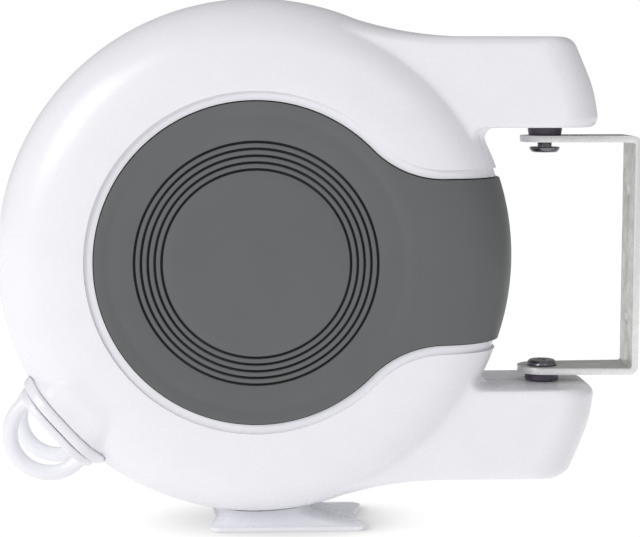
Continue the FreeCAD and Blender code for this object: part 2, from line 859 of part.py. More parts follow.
def pull_handle(label, y):
    """A flange with a half round finger loop on it."""
    body = add_body(label)
    flange_sketch = body_sketch(body, label + "_flange", "XY_Plane", size("handle_base"))
    draw(flange_sketch,
         rounded_rectangle(size("handle_length") / 2, size("handle_width") / 2,
                           size("handle_corner")))
    pad(body, flange_sketch, size("handle_flange"))
    loop_centre = size("handle_base") + size("loop_rise")
    loop_root = size("handle_base") + size("loop_root")
    route = body_sketch(body, label + "_loop_route", "XZ_Plane")
    draw(route, [
        (size("loop_radius"), loop_root),
        (size("loop_radius"), loop_centre),
        (0, loop_centre + size("loop_radius"), size("loop_radius")),
        (-size("loop_radius"), loop_centre, size("loop_radius")),
        (-size("loop_radius"), loop_root),
    ], closed=False)
    section = body_sketch(body, label + "_loop_section", "XY_Plane", loop_root)
    draw_circle(section, size("loop_radius"), 0, size("loop_tube"))
    pipe = body.newObject("PartDesign::AdditivePipe", label + "_loop")
    pipe.Profile = section
    pipe.Spine = route
    hole = body_sketch(body, label + "_hole", "XY_Plane", size("handle_base"))
    draw_circle(hole, 0, 0, size("line_radius") + clearance)
    pocket(body, hole, size("knot_rise") + clearance * 2, reverse=True)
    return at_outlet(body, y)


front_pull_handle = pull_handle("front_pull_handle", -size("line_side"))
rear_pull_handle = pull_handle("rear_pull_handle", size("line_side"))

# Cleats -------------------------------------------------------------------------------------

cleat_neck = size("cleat_neck_side")
neck_half = size("cleat_neck_thickness") / 2
rim_y = size("cleat_rim_side")
rim_top = size("cleat_rim_z")
foot = size("cleat_bottom")
lip, floor, corner = size("cleat_lip"), size("cleat_floor"), size("cleat_rim_corner")
root_z, groove_z = size("cleat_root_z"), size("cleat_groove_z")
neck_front = neck_half + cleat_neck
cleat_blank = add_body("cleat_blank")
cleat_side = body_sketch(cleat_blank, "cleat_side", "YZ_Plane")
draw(cleat_side, [
    (neck_half - cleat_neck, -root_z),
    (neck_half - cleat_neck, floor + 1.0 - foot),
    (floor - rim_y, floor - foot),
    (-rim_y, -foot),
    (corner - lip - rim_y, -foot),
    (-rim_y - lip, corner - foot, -corner),
    (0.5 - rim_y - lip, -rim_top - 0.6),
    (corner - rim_y - lip, 0.4 - rim_top, -1.0),
    (-neck_front - 1.0, -groove_z - 1.0),
    (-neck_front, -groove_z, -1.0),
    (-neck_front, -root_z),
])
pad(cleat_blank, cleat_side, size("cleat_rim_near"))
cleat_blank.Tip.SideType = "Two sides"
bind(cleat_blank.Tip, "Length2", size("cleat_rim_far"))
cleat_plan = body_sketch(cleat_blank, "cleat_plan", "XY_Plane")
for neck_x, rim_x, away in (
        (size("cleat_neck_near"), size("cleat_rim_near"), THROUGH),
        (-size("cleat_neck_far"), -size("cleat_rim_far"), -THROUGH)):
    draw(cleat_plan, [
        (neck_x, 5.0),
        (neck_x, -neck_front),
        (rim_x, -rim_y - 1.0),
        (away, -rim_y - 1.0),
        (away, 5.0),
    ])
pocket(cleat_blank, cleat_plan, 2 * BEYOND, both_ways=True)
body_clear = cylinder("body_clear", size("reel_radius") + clearance, -THROUGH, THROUGH)
cleat_pilot = fuse("cleat_pilot", [
    cylinder("pilot", screw_way, -size("cleat_screw_end") - 1.5, -size("cleat_root_z"), "Z", x=x,
             y=-size("cleat_neck_side"))
    for x in CLEAT_SCREW_X])
front_cleat = at_reel(cut("front_cleat", cut("cleat_seated", cleat_blank, body_clear),
                          cleat_pilot))
rear_cleat = mirrored("rear_cleat", front_cleat, Vector(0, 1, 0))


def screw(name, axis, spot, head_at, tip_at, radius, head_radius, head_height):
    """A screw along an axis: its head lies outside head_at, seen from the tip."""
    away = 1.0 if as_size(head_at).value > as_size(tip_at).value else -1.0
    head_end = as_size(head_at) + as_size(head_height) * away
    low, high = (tip_at, head_at) if away > 0 else (head_at, tip_at)
    head_low, head_high = (head_at, head_end) if away > 0 else (head_end, head_at)
    shank = cylinder(name + "_shank", radius, low, high, axis, **spot)
    head = cylinder(name + "_head", head_radius, head_low, head_high, axis, **spot)
    return fuse(name, [shank, head])


# Heads of the self-tapping screws: radius and height.
CLEAT_SCREW_HEAD = (2.8, 1.6)
SHELL_SCREW_HEAD = (3.2, 2.2)
cleat_screw_list = []
for side in (-1, 1):
    for x in CLEAT_SCREW_X:
        head_at = -leg(size("cleat_screw_head_at"), as_size(x))
        cleat_screw_list.append(screw(
            "cleat_screw", "Z", {"x": x, "y": size("cleat_neck_side") * side},
            head_at, -size("cleat_screw_end"), screw_radius, *CLEAT_SCREW_HEAD))
cleat_screws = doc.addObject("Part::Compound", "cleat_screws")
cleat_screws.Links = cleat_screw_list
cleat_screws.Label = "cleat_screws"
at_reel(cleat_screws)

shell_screw_list = [screw("shell_screw", "Y", {"x": x, "z": z}, size("screw_seat") + running_gap,
                          -size("screw_tip"), screw_radius, *SHELL_SCREW_HEAD)
                    for x, z in screw_posts]
shell_screws = doc.addObject("Part::Compound", "shell_screws")
shell_screws.Links = shell_screw_list
shell_screws.Label = "shell_screws"
at_reel(shell_screws)

# Pivot and bracket --------------------------------------------------------------------------

pivot = -size("wall_to_pivot")
tab_face = size("bracket_half_height")
tab_inner = tab_face - size("strip")


def pivot_bush(label, up):
    """A dark bush: a flange between arm and bracket, and a sleeve up in the arm."""
    body = add_body(label)
    sketch = body_sketch(body, label + "_profile", "XZ_Plane")
    inner = size("pivot_shank") + running_gap
    draw(sketch, [
        (inner, tab_face + running_gap),
        (size("bush_radius") - size("bush_lip"), tab_face + running_gap),
        (size("bush_radius"), size("arm_inner") - running_gap),
        (size("sleeve_radius"), size("arm_inner") - running_gap),
        (size("sleeve_radius"), size("sleeve_end")),
        (inner, size("sleeve_end")),
    ])
    turn = body.newObject("PartDesign::Revolution", label + "_turn")
    turn.Profile = sketch
    turn.ReferenceAxis = (sketch, ["V_Axis"])
    turn.Angle = 360.0
    if not up:
        body.Placement = FreeCAD.Placement(Vector(), Rotation(Vector(1, 0, 0), 180))
    bind(body, "Placement.Base.x", pivot)
    return body


upper_pivot_bush = pivot_bush("upper_pivot_bush", True)
lower_pivot_bush = pivot_bush("lower_pivot_bush", False)

screw_end = size("pivot_screw_end")
upper_pivot_screw = screw("upper_pivot_screw", "Z", {"x": pivot},
                          tab_inner - size("screw_proud"), screw_end,
                          size("pivot_shank"), size("screw_head"), size("screw_head_height"))
lower_pivot_screw = screw("lower_pivot_screw", "Z", {"x": pivot}, clearance - tab_inner, -screw_end,
                          size("pivot_shank"), size("screw_head"), size("screw_head_height"))

strip = size("strip")
bend = size("bracket_bend")
nose = pivot - size("tab_nose")
# The trimming outline reaches this far past the strip.
MARGIN = 5.0
wall_bracket = add_body("wall_bracket")
u_sketch = body_sketch(wall_bracket, "bracket_side", "XZ_Plane")
draw(u_sketch, [
    (nose, -tab_face),
    (-bend, -tab_face),
    (0, bend - tab_face, bend),
    (0, tab_face - bend),
    (-bend, tab_face, bend),
    (nose, tab_face),
    (nose, tab_inner),
    (-bend, tab_inner),
    (-strip, tab_face - bend, -(bend - strip)),
    (-strip, bend - tab_face),
    (-bend, -tab_inner, -(bend - strip)),
    (nose, -tab_inner),
])
pad(wall_bracket, u_sketch, size("web_half_width") * 2, both_ways=True)
trim_sketch = body_sketch(wall_bracket, "bracket_top", "XY_Plane")
half_web = size("web_half_width")
draw(trim_sketch, [
    (nose - MARGIN, -half_web - MARGIN),
    (0.0, -half_web - MARGIN),
    (0.0, -half_web),
    (pivot, -size("tab_nose")),
    (nose, 0.0, -size("tab_nose")),
    (pivot, size("tab_nose"), -size("tab_nose")),
    (0.0, half_web),
    (0.0, half_web + MARGIN),
    (nose - MARGIN, half_web + MARGIN),
])
pocket(wall_bracket, trim_sketch, 2 * THROUGH, both_ways=True)
pivot_holes = body_sketch(wall_bracket, "pivot_holes", "XY_Plane")
draw_circle(pivot_holes, pivot, 0, size("pivot_hole"))
pocket(wall_bracket, pivot_holes, 2 * THROUGH, both_ways=True)
wall_holes = body_sketch(wall_bracket, "wall_holes", "YZ_Plane")
for side in (1, -1):
    draw_circle(wall_holes, 0, size("wall_hole_spacing") / 2 * side, size("wall_hole"))
pocket(wall_bracket, wall_holes, 10.0, both_ways=True)

# Check and write ----------------------------------------------------------------------------

NODES = [
    front_shell, rear_shell, front_panel, rear_panel, outlet_plate, front_eyelet, rear_eyelet,
    front_drum, rear_drum, front_line_coil, rear_line_coil, front_mainspring, rear_mainspring,
    drum_axle, divider, front_line_inner, rear_line_inner, front_line_lead, rear_line_lead,
    front_pull_handle, rear_pull_handle, front_cleat, rear_cleat, cleat_screws, shell_screws,
    upper_pivot_bush, lower_pivot_bush, upper_pivot_screw, lower_pivot_screw, wall_bracket,
]

doc.recompute()
for item in doc.Objects:
    if "Invalid" in item.State or "Error" in item.State:
        raise RuntimeError("%s did not build: %s" % (item.Name, item.State))
for node in NODES:
    if node.Shape.isNull() or not node.Shape.isValid():
        raise RuntimeError("%s has no valid shape" % node.Label)

os.makedirs("parts", exist_ok=True)
for node in NODES:
    node.Shape.exportStep(os.path.join("parts", node.Label + ".step"))
    box = node.Shape.BoundBox
    print("%-20s solids %d volume %9.0f  x %.1f..%.1f y %.1f..%.1f z %.1f..%.1f" % (
        node.Label, len(node.Shape.Solids), node.Shape.Volume,
        box.XMin, box.XMax, box.YMin, box.YMax, box.ZMin, box.ZMax))
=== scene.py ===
"""Looks of a retractable clothesline reel on its wall bracket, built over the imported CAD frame.

Everything is in metres in the row frame: +Z up, +X towards the wall, the seen side faces -Y.
Sizes are written in millimetres and scaled once, when a mesh is made.
"""

import logging
import math
from dataclasses import dataclass
from enum import Enum
from typing import Callable, Iterable, Sequence

import bmesh
import bpy
from mathutils import Matrix, Vector

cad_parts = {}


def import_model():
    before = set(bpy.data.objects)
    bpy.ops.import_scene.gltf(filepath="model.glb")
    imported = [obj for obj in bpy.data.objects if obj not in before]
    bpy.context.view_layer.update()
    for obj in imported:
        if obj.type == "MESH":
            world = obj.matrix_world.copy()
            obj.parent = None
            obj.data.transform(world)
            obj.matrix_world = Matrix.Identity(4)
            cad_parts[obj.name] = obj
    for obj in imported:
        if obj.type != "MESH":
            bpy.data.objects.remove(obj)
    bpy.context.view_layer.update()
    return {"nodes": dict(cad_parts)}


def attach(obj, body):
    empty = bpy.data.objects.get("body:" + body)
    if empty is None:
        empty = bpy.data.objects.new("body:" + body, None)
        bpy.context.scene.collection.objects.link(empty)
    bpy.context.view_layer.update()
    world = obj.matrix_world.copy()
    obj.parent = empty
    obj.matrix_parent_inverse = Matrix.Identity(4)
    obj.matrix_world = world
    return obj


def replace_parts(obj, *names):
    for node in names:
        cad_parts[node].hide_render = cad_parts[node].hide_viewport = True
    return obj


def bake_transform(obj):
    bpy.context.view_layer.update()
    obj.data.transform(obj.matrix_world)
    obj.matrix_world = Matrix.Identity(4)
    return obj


LOG = logging.getLogger("clothesline")
MM = 0.001

Point2 = tuple[float, float]
Corner = tuple[float, float, float]


class Side(Enum):
    """The two mirror-image halves: the sign is the side's place along Y."""

    FRONT = -1
    REAR = 1

    @property
    def word(self) -> str:
        """Args: none. Returns: the word that piece names start with."""
        return self.name.lower()


class Cut(Enum):
    """What a boolean step does."""

    JOIN = "UNION"
    TAKE = "DIFFERENCE"
    KEEP = "INTERSECT"


# Materials ----------------------------------------------------------------------------------

def linear(hex_colour: str) -> tuple[float, float, float, float]:
    """Turns an sRGB hex colour into linear RGBA.

    Args:
        hex_colour: six hex digits, such as "F0F0F5".
    Returns:
        The linear colour with alpha 1.
    """
    channels = [int(hex_colour[at:at + 2], 16) / 255.0 for at in (0, 2, 4)]
    return tuple(c / 12.92 if c <= 0.04045 else ((c + 0.055) / 1.055) ** 2.4
                 for c in channels) + (1.0,)


def add_node(tree: bpy.types.NodeTree, kind: str, inputs: dict | None = None,
             **settings) -> bpy.types.Node:
    """Adds one shader node.

    Args:
        tree: the material's node tree.
        kind: the node's type name.
        inputs: input name to constant, or to the output socket that feeds it.
        settings: properties of the node.
    Returns:
        The new node.
    """
    node = tree.nodes.new(kind)
    for name, value in settings.items():
        setattr(node, name, value)
    for name, value in (inputs or {}).items():
        socket = node.inputs[name]
        if isinstance(value, bpy.types.NodeSocket):
            tree.links.new(value, socket)
        else:
            socket.default_value = value
    return node


@dataclass(frozen=True)
class Finish:
    """How one real material looks; lengths in millimetres."""

    name: str
    colour: str
    shade: str
    roughness: float
    roughness_change: float = 0.05
    metallic: float = 0.0
    cloud_mm: float = 30.0
    grain_mm: float = 0.35
    bump_mm: float = 0.004
    stretch: tuple[float, float, float] = (1.0, 1.0, 1.0)
    coat: float = 0.0
    subsurface: float = 0.0


class Materials:
    """Builds each finish once and hands it out."""

    FINISHES = {
        finish.name: finish for finish in (
            # Glossy moulding: a soft bright streak on the shoulder, hardly any texture.
            Finish("moulded white ABS", "F2F2F7", "EBEBF1", 0.28, 0.04, bump_mm=0.002,
                   cloud_mm=12.0, grain_mm=0.8),
            # Spark-eroded texture: an even grey that breaks up every reflection.
            Finish("textured grey ABS", "626465", "5C5E5F", 0.46, 0.07, bump_mm=0.010,
                   grain_mm=0.30),
            # Painted shade: the white shell's faces in the joint and in the panel's seat get this
            # dark colour, so these narrow gaps read as thin dark lines.
            Finish("painted shade in joint and seat", "3A3A3E", "323236", 0.70, 0.05, bump_mm=0.004),
            # Waxy dark plastic with a dull sheen.
            Finish("dark purple-grey nylon", "5A5262", "4C4454", 0.42, 0.08, bump_mm=0.008),
            # Pale dull metal with a faint patchy bloom.
            Finish("zinc plated steel", "D2D2CF", "BCBCB8", 0.42, 0.12, metallic=0.6,
                   cloud_mm=6.0, grain_mm=0.5, bump_mm=0.006),
            # Bright edge, rough from the shears.
            Finish("sheared steel edge", "F2F2F2", "DCDCDC", 0.34, 0.10, metallic=0.35,
                   cloud_mm=2.0, grain_mm=0.30, bump_mm=0.006),
            # Dark mirror-like metal with sharp highlights.
            Finish("dark nickel plating", "8C8A90", "6E6C72", 0.26, 0.08, metallic=1.0,
                   cloud_mm=4.0, grain_mm=0.4, bump_mm=0.004),
            # Milky plastic of the drums, soft and plain.
            Finish("natural acetal", "D9DADD", "CFD0D4", 0.40, 0.06, bump_mm=0.006),
            # Cool dark strip with long reflections.
            Finish("blued spring steel", "70757D", "5B6068", 0.35, 0.10, metallic=0.9),
            # Grinding marks run round the axle and stretch its highlights.
            Finish("ground axle steel", "A9ABAF", "97999D", 0.28, 0.08, metallic=1.0,
                   stretch=(1.0, 12.0, 1.0)),
            # Matt skin with fine ripples.
            Finish("vinyl covered line", "E4E5E8", "D5D6DA", 0.45, 0.08, cloud_mm=8.0,
                   grain_mm=0.9, bump_mm=0.020),
        )
    }

    def __init__(self) -> None:
        """Args: none. Returns: nothing; no material exists yet."""
        self.made: dict[str, bpy.types.Material] = {}

    def get(self, name: str) -> bpy.types.Material:
        """Args: name: a finish's name. Returns: its material, made at first use."""
        if name not in self.made:
            self.made[name] = self.build(self.FINISHES[name])
        return self.made[name]

    def build(self, finish: Finish) -> bpy.types.Material:
        """Makes a material with drifting colour, uneven roughness and a fine grain.

        Args:
            finish: the look to build.
        Returns:
            The material.
        """
        material = bpy.data.materials.new(finish.name)
        material.use_nodes = True
        tree = material.node_tree
        tree.nodes.clear()
        place = add_node(tree, "ShaderNodeTexCoord")
        scaled = add_node(tree, "ShaderNodeMapping", {
            "Vector": place.outputs["Object"], "Scale": finish.stretch})
        cloud = add_node(tree, "ShaderNodeTexNoise", {
            "Vector": scaled.outputs["Vector"], "Scale": 1.0 / (finish.cloud_mm * MM),
            "Detail": 3.0, "Roughness": 0.55})
        grain = add_node(tree, "ShaderNodeTexNoise", {
            "Vector": scaled.outputs["Vector"], "Scale": 1.0 / (finish.grain_mm * MM),
            "Detail": 2.0, "Roughness": 0.5})
        tint = add_node(tree, "ShaderNodeMix", {
            "Factor": cloud.outputs["Fac"], "A": linear(finish.colour),
            "B": linear(finish.shade)}, data_type="RGBA")
        rough = add_node(tree, "ShaderNodeMapRange", {
            "Value": cloud.outputs["Fac"], "From Min": 0.2, "From Max": 0.8,
            "To Min": finish.roughness - finish.roughness_change,
            "To Max": finish.roughness + finish.roughness_change},
            interpolation_type="SMOOTHSTEP")
        bump = add_node(tree, "ShaderNodeBump", {
            "Height": grain.outputs["Fac"], "Strength": 1.0, "Distance": finish.bump_mm * MM})
        shader = add_node(tree, "ShaderNodeBsdfPrincipled", {
            "Base Color": tint.outputs["Result"], "Roughness": rough.outputs["Result"],
            "Metallic": finish.metallic, "Normal": bump.outputs["Normal"],
            "Coat Weight": finish.coat, "Subsurface Weight": finish.subsurface})
        add_node(tree, "ShaderNodeOutputMaterial", {"Surface": shader.outputs["BSDF"]})
        return material


# Outlines in the plane -----------------------------------------------------------------------

def arc(centre: Point2, radius: float, start: float, end: float, steps: int) -> list[Point2]:
    """Points along an arc.

    Args:
        centre: the arc's centre.
        radius: its radius.
        start: first angle in degrees.
        end: last angle in degrees.
        steps: how many straight pieces it is drawn with.
    Returns:
        steps + 1 points.
    """
    points = []
    for index in range(steps + 1):
        angle = math.radians(start + (end - start) * index / steps)
        points.append((centre[0] + radius * math.cos(angle),
                       centre[1] + radius * math.sin(angle)))
    return points


def rounded(corners: Sequence[Corner], steps: int = 8) -> list[Point2]:
    """A closed outline whose corners are rounded.

    Args:
        corners: (x, y, radius) for each corner in order; radius 0 keeps it sharp.
        steps: straight pieces in each rounded corner.
    Returns:
        The outline's points, the same number for the same corners at any size.
    """
    points = []
    count = len(corners)
    for index, (x, y, radius) in enumerate(corners):
        here = Vector((x, y))
        before = (Vector(corners[index - 1][:2]) - here).normalized()
        after = (Vector(corners[(index + 1) % count][:2]) - here).normalized()
        if radius <= 0.0:
            points.append((x, y))
            continue
        half = before.angle(after) / 2.0
        along = radius / math.tan(half)
        middle = here + (before + after).normalized() * (radius / math.sin(half))
        first = here + before * along - middle
        last = here + after * along - middle
        turn = math.atan2(first.x * last.y - first.y * last.x, first.dot(last))
        base = math.atan2(first.y, first.x)
        for step in range(steps + 1):
            angle = base + turn * step / steps
            points.append((middle.x + radius * math.cos(angle),
                           middle.y + radius * math.sin(angle)))
    return points


def slot_outline(half_x: float, half_y: float, corner: float, steps: int = 8) -> list[Point2]:
    """A rounded rectangle about the origin.

    Args:
        half_x: half its size along the first axis.
        half_y: half its size along the second axis.
        corner: corner radius.
        steps: straight pieces in each corner.
    Returns:
        The outline's points.
    """
    return rounded([(half_x, -half_y, corner), (half_x, half_y, corner),
                    (-half_x, half_y, corner), (-half_x, -half_y, corner)], steps)


# Meshes --------------------------------------------------------------------------------------

def scene_object(name: str, bm: bmesh.types.BMesh) -> bpy.types.Object:
    """Turns a bmesh drawn in millimetres into an object in metres at the origin.

    Args:
        name: the object's name.
        bm: the mesh; it is freed.
    Returns:
        The new object.
    """
    bmesh.ops.scale(bm, vec=(MM, MM, MM), verts=bm.verts)
    bmesh.ops.recalc_face_normals(bm, faces=bm.faces)
    mesh = bpy.data.meshes.new(name)
    bm.to_mesh(mesh)
    bm.free()
    thing = bpy.data.objects.new(name, mesh)
    bpy.context.scene.collection.objects.link(thing)
    return thing


def chain(bm: bmesh.types.BMesh, points: Iterable[Sequence[float]],
          closed: bool = True) -> list[bmesh.types.BMVert]:
    """Adds a chain of points joined by edges.

    Args:
        bm: the mesh.
        points: 3-D points.
        closed: whether the last point joins the first.
    Returns:
        The vertices in order.
    """
    verts = [bm.verts.new(point) for point in points]
    for first, second in zip(verts, verts[1:]):
        bm.edges.new((first, second))
    if closed:
        bm.edges.new((verts[-1], verts[0]))
    return verts


def turned(name: str, profile: Sequence[Point2], steps: int = 96,
           place: Matrix | None = None) -> bpy.types.Object:
    """Spins a closed profile into a solid.

    Args:
        name: the object's name.
        profile: (radius, height) points in mm, closed by the axis or by itself.
        steps: straight pieces round the turn.
        place: where the turned shape's +Z axis goes, in mm.
    Returns:
        The new object.
    """
    bm = bmesh.new()
    on_axis = abs(profile[0][0]) < 1e-6 and abs(profile[-1][0]) < 1e-6
    verts = chain(bm, [(r, 0.0, h) for r, h in profile], closed=not on_axis)
    bmesh.ops.spin(bm, geom=verts + list(bm.edges), cent=(0, 0, 0), axis=(0, 0, 1),
                   angle=2 * math.pi, steps=steps, use_merge=True)
    bmesh.ops.remove_doubles(bm, verts=bm.verts, dist=1e-5)
    if place is not None:
        bmesh.ops.transform(bm, matrix=place, verts=bm.verts)
    return scene_object(name, bm)


def rod(name: str, radius: float, low: float, high: float, steps: int,
        place: Matrix) -> bpy.types.Object:
    """A plain cylinder along +Z, mostly a tool for a hole.

    Args:
        name: the object's name.
        radius: its radius in mm.
        low: where it starts.
        high: where it ends.
        steps: straight pieces round the turn.
        place: where its +Z axis goes, in mm.
    Returns:
        The new object.
    """
    return turned(name, [(0, low), (radius, low), (radius, high), (0, high)], steps, place)


def lofted(name: str, loops: Sequence[Sequence[Sequence[float]]],
           place: Matrix | None = None) -> bpy.types.Object:
    """Grows a closed solid through loops of equal length.

    Args:
        name: the object's name.
        loops: each a list of 3-D points in mm.
        place: a transform for the whole solid.
    Returns:
        The new object.
    """
    bm = bmesh.new()
    first = last = chain(bm, loops[0])
    for loop in loops[1:]:
        grown = bmesh.ops.extrude_edge_only(bm, edges=loop_edges(last))
        fresh = {item for item in grown["geom"] if isinstance(item, bmesh.types.BMVert)}
        last = [next(edge.other_vert(vert) for edge in vert.link_edges
                     if edge.other_vert(vert) in fresh) for vert in last]
        for vert, point in zip(last, loop):
            vert.co = point
    for ring in (first, last):
        bmesh.ops.contextual_create(bm, geom=loop_edges(ring))
    if place is not None:
        bmesh.ops.transform(bm, matrix=place, verts=bm.verts)
    return scene_object(name, bm)


def loop_edges(verts: Sequence[bmesh.types.BMVert]) -> list[bmesh.types.BMEdge]:
    """Args: verts: a closed ring of vertices. Returns: the edges between neighbours."""
    edges = []
    for index, vert in enumerate(verts):
        other = verts[index - 1]
        edges += [edge for edge in vert.link_edges if edge.other_vert(vert) is other]
    return edges


def prism(name: str, outline: Sequence[Point2], low: float, high: float,
          to_space: Callable[[float, float, float], Sequence[float]],
          place: Matrix | None = None) -> bpy.types.Object:
    """A straight solid between two levels of one outline.

    Args:
        name: the object's name.
        outline: its points.
        low: the first level.
        high: the second level.
        to_space: turns (u, v, level) into x, y, z.
        place: a transform for the whole solid.
    Returns:
        The new object.
    """
    loops = [[to_space(u, v, level) for u, v in outline] for level in (low, high)]
    return lofted(name, loops, place)


def facing_front(u: float, v: float, level: float) -> tuple[float, float, float]:
    """Args: u, v: place in the XZ plane. level: depth. Returns: x, y, z."""
    return (u, level, v)


def from_above(u: float, v: float, level: float) -> tuple[float, float, float]:
    """Args: u, v: place in the XY plane. level: height. Returns: x, y, z."""
    return (u, v, level)


def bake(thing: bpy.types.Object) -> bpy.types.Object:
    """Turns an object's modifiers into its mesh.

    Args:
        thing: the object.
    Returns:
        The same object, without modifiers.
    """
    graph = bpy.context.evaluated_depsgraph_get()
    mesh = bpy.data.meshes.new_from_object(thing.evaluated_get(graph))
    old = thing.data
    thing.modifiers.clear()
    thing.data = mesh
    mesh.name = thing.name
    bpy.data.meshes.remove(old)
    return thing


def remove(thing: bpy.types.Object) -> None:
    """Args: thing: an object that was only a tool. Returns: nothing; it is gone."""
    mesh = thing.data
    bpy.data.objects.remove(thing)
    bpy.data.meshes.remove(mesh)


def combine(thing: bpy.types.Object, tool: bpy.types.Object,
            cut: Cut) -> bpy.types.Object:
    """Joins, takes away or keeps the part shared with a tool, and removes the tool.

    Args:
        thing: the object that changes.
        tool: the other solid.
        cut: what to do.
    Returns:
        The changed object.
    """
    step = thing.modifiers.new("shape", "BOOLEAN")
    step.operation = cut.value
    step.object = tool
    step.solver = "MANIFOLD"
    bake(thing)
    remove(tool)
    return thing


def soften(thing: bpy.types.Object, width: float, angle: float = 35.0,
           segments: int = 3) -> bpy.types.Object:
    """Rounds the sharp edges of a solid.

    Args:
        thing: the object.
        width: width of the rounding in mm.
        angle: edges sharper than this are rounded, in degrees.
        segments: straight pieces across the rounding.
    Returns:
        The same object.
    """
    step = thing.modifiers.new("edges", "BEVEL")
    step.width = width * MM
    step.segments = segments
    step.limit_method = "ANGLE"
    step.angle_limit = math.radians(angle)
    step.profile = 0.5
    return bake(thing)


def melted(thing: bpy.types.Object, voxel: float, passes: int) -> bpy.types.Object:
    """Turns joined solids into one skin and relaxes it, as moulded corners are.

    Args:
        thing: the object.
        voxel: the size of the skin's faces in mm.
        passes: how many times the skin is relaxed.
    Returns:
        The same object.
    """
    melt = thing.modifiers.new("melt", "REMESH")
    melt.mode = "VOXEL"
    melt.voxel_size = voxel * MM
    relax = thing.modifiers.new("relax", "SMOOTH")
    relax.factor = 0.5
    relax.iterations = passes
    return bake(thing)


def shade(thing: bpy.types.Object, angle: float = 32.0) -> bpy.types.Object:
    """Smooths the shading, but keeps edges sharper than an angle.

    Args:
        thing: the object.
        angle: the limit in degrees.
    Returns:
        The same object.
    """
    mesh = thing.data
    mesh.polygons.foreach_set("use_smooth", [True] * len(mesh.polygons))
    mesh.set_sharp_from_angle(angle=math.radians(angle))
    mesh.update()
    return thing


def mirrored(thing: bpy.types.Object, name: str) -> bpy.types.Object:
    """A mirror image across the middle plane.

    Args:
        thing: the front piece.
        name: the rear piece's name.
    Returns:
        The rear piece.
    """
    bm = bmesh.new()
    bm.from_mesh(thing.data)
    bmesh.ops.scale(bm, vec=(1.0, -1.0, 1.0), verts=bm.verts)
    bmesh.ops.reverse_faces(bm, faces=bm.faces)
    mesh = bpy.data.meshes.new(name)
    bm.to_mesh(mesh)
    bm.free()
    twin = bpy.data.objects.new(name, mesh)
    bpy.context.scene.collection.objects.link(twin)
    for material in thing.data.materials:
        mesh.materials.append(material)
    return shade(twin)


# Frame ---------------------------------------------------------------------------------------

@dataclass(frozen=True)
class Layout:
    """Where the main things are, in mm in the row frame."""

    reel_x: float = -149.0
    pivot_x: float = -36.0
    outlet_angle: float = 42.0
    outlet_rise: float = 3.4
    line_side: float = 16.5

    @property
    def reel(self) -> Matrix:
        """Args: none. Returns: places a shape that is drawn about the reel's centre."""
        return Matrix.Translation((self.reel_x, 0.0, 0.0))

    @property
    def turned_reel(self) -> Matrix:
        """Args: none. Returns: places a shape turned about +Z so that it turns about -Y."""
        return self.reel @ Matrix.Rotation(math.radians(90.0), 4, "X")

    def pivot(self, up: int) -> Matrix:
        """Args: up: 1 or -1. Returns: places a shape on the swivel, upside down for -1."""
        return Matrix.Translation((self.pivot_x, 0, 0)) @ Matrix.Scale(up, 4, (0, 0, 1))

    def outlet(self, side: float) -> Matrix:
        """Args: side: place along Y. Returns: places a shape drawn along +Z on an outlet."""
        angle = math.radians(self.outlet_angle)
        middle = (self.reel_x - self.outlet_rise * math.sin(angle), side,
                  self.outlet_rise * math.cos(angle))
        return (Matrix.Translation(middle)
                @ Matrix.Rotation(-angle - math.pi / 2.0, 4, "Y"))


# Housing -------------------------------------------------------------------------------------

@dataclass(frozen=True)
class ReelForm:
    """Outside of the round body, in mm about the reel's centre."""

    radius: float = 98.8
    half_depth: float = 34.5
    flat_radius: float = 64.2
    shoulder: float = 70.0
    shoulder_angle: float = 14.0

    def profile(self, inset: float = 0.0) -> list[Point2]:
        """Half profile from the middle plane to the front's centre.

        Args:
            inset: how far the surface is moved in.
        Returns:
            (radius, height towards the viewer) points, both ends on the axis.
        """
        big, small_full = self.shoulder, self.small_radius
        small_centre = (self.radius - small_full, self.rim_level)
        side = arc(small_centre, small_full - inset, 0.0, 90.0 - self.shoulder_angle, 28)
        face = arc((self.flat_radius, self.half_depth - big), big - inset,
                   90.0 - self.shoulder_angle, 90.0, 8)
        return ([(0.0, 0.0), (self.radius - inset, 0.0)] + side + face[1:]
                + [(0.0, self.half_depth - inset)])

    def height(self, radius: float) -> float:
        """Args: radius: distance from the axis. Returns: the face's height over the middle."""
        if radius <= self.flat_radius:
            return self.half_depth
        shoulder_reach = self.shoulder * math.sin(math.radians(self.shoulder_angle))
        over = radius - self.flat_radius
        if over <= shoulder_reach:
            return self.half_depth - self.shoulder + math.sqrt(self.shoulder ** 2 - over ** 2)
        small = self.small_radius
        along = min(radius - (self.radius - small), small)
        return self.rim_level + math.sqrt(small ** 2 - along ** 2)

    def reach(self, height: float) -> float:
        """Args: height: distance from the middle plane. Returns: the body's radius there."""
        small = self.small_radius
        over = max(height - self.rim_level, 0.0)
        return self.radius - small + math.sqrt(small ** 2 - over ** 2)

    @property
    def rim_level(self) -> float:
        """Args: none. Returns: the height where the straight rim turns into its rounding."""
        return self.half_depth - self.shoulder + (self.shoulder - self.small_radius) * math.cos(
            math.radians(self.shoulder_angle))

    @property
    def small_radius(self) -> float:
        """Args: none. Returns: the radius of the rounding at the rim."""
        sine = math.sin(math.radians(self.shoulder_angle))
        return (self.radius - self.flat_radius - self.shoulder * sine) / (1.0 - sine)


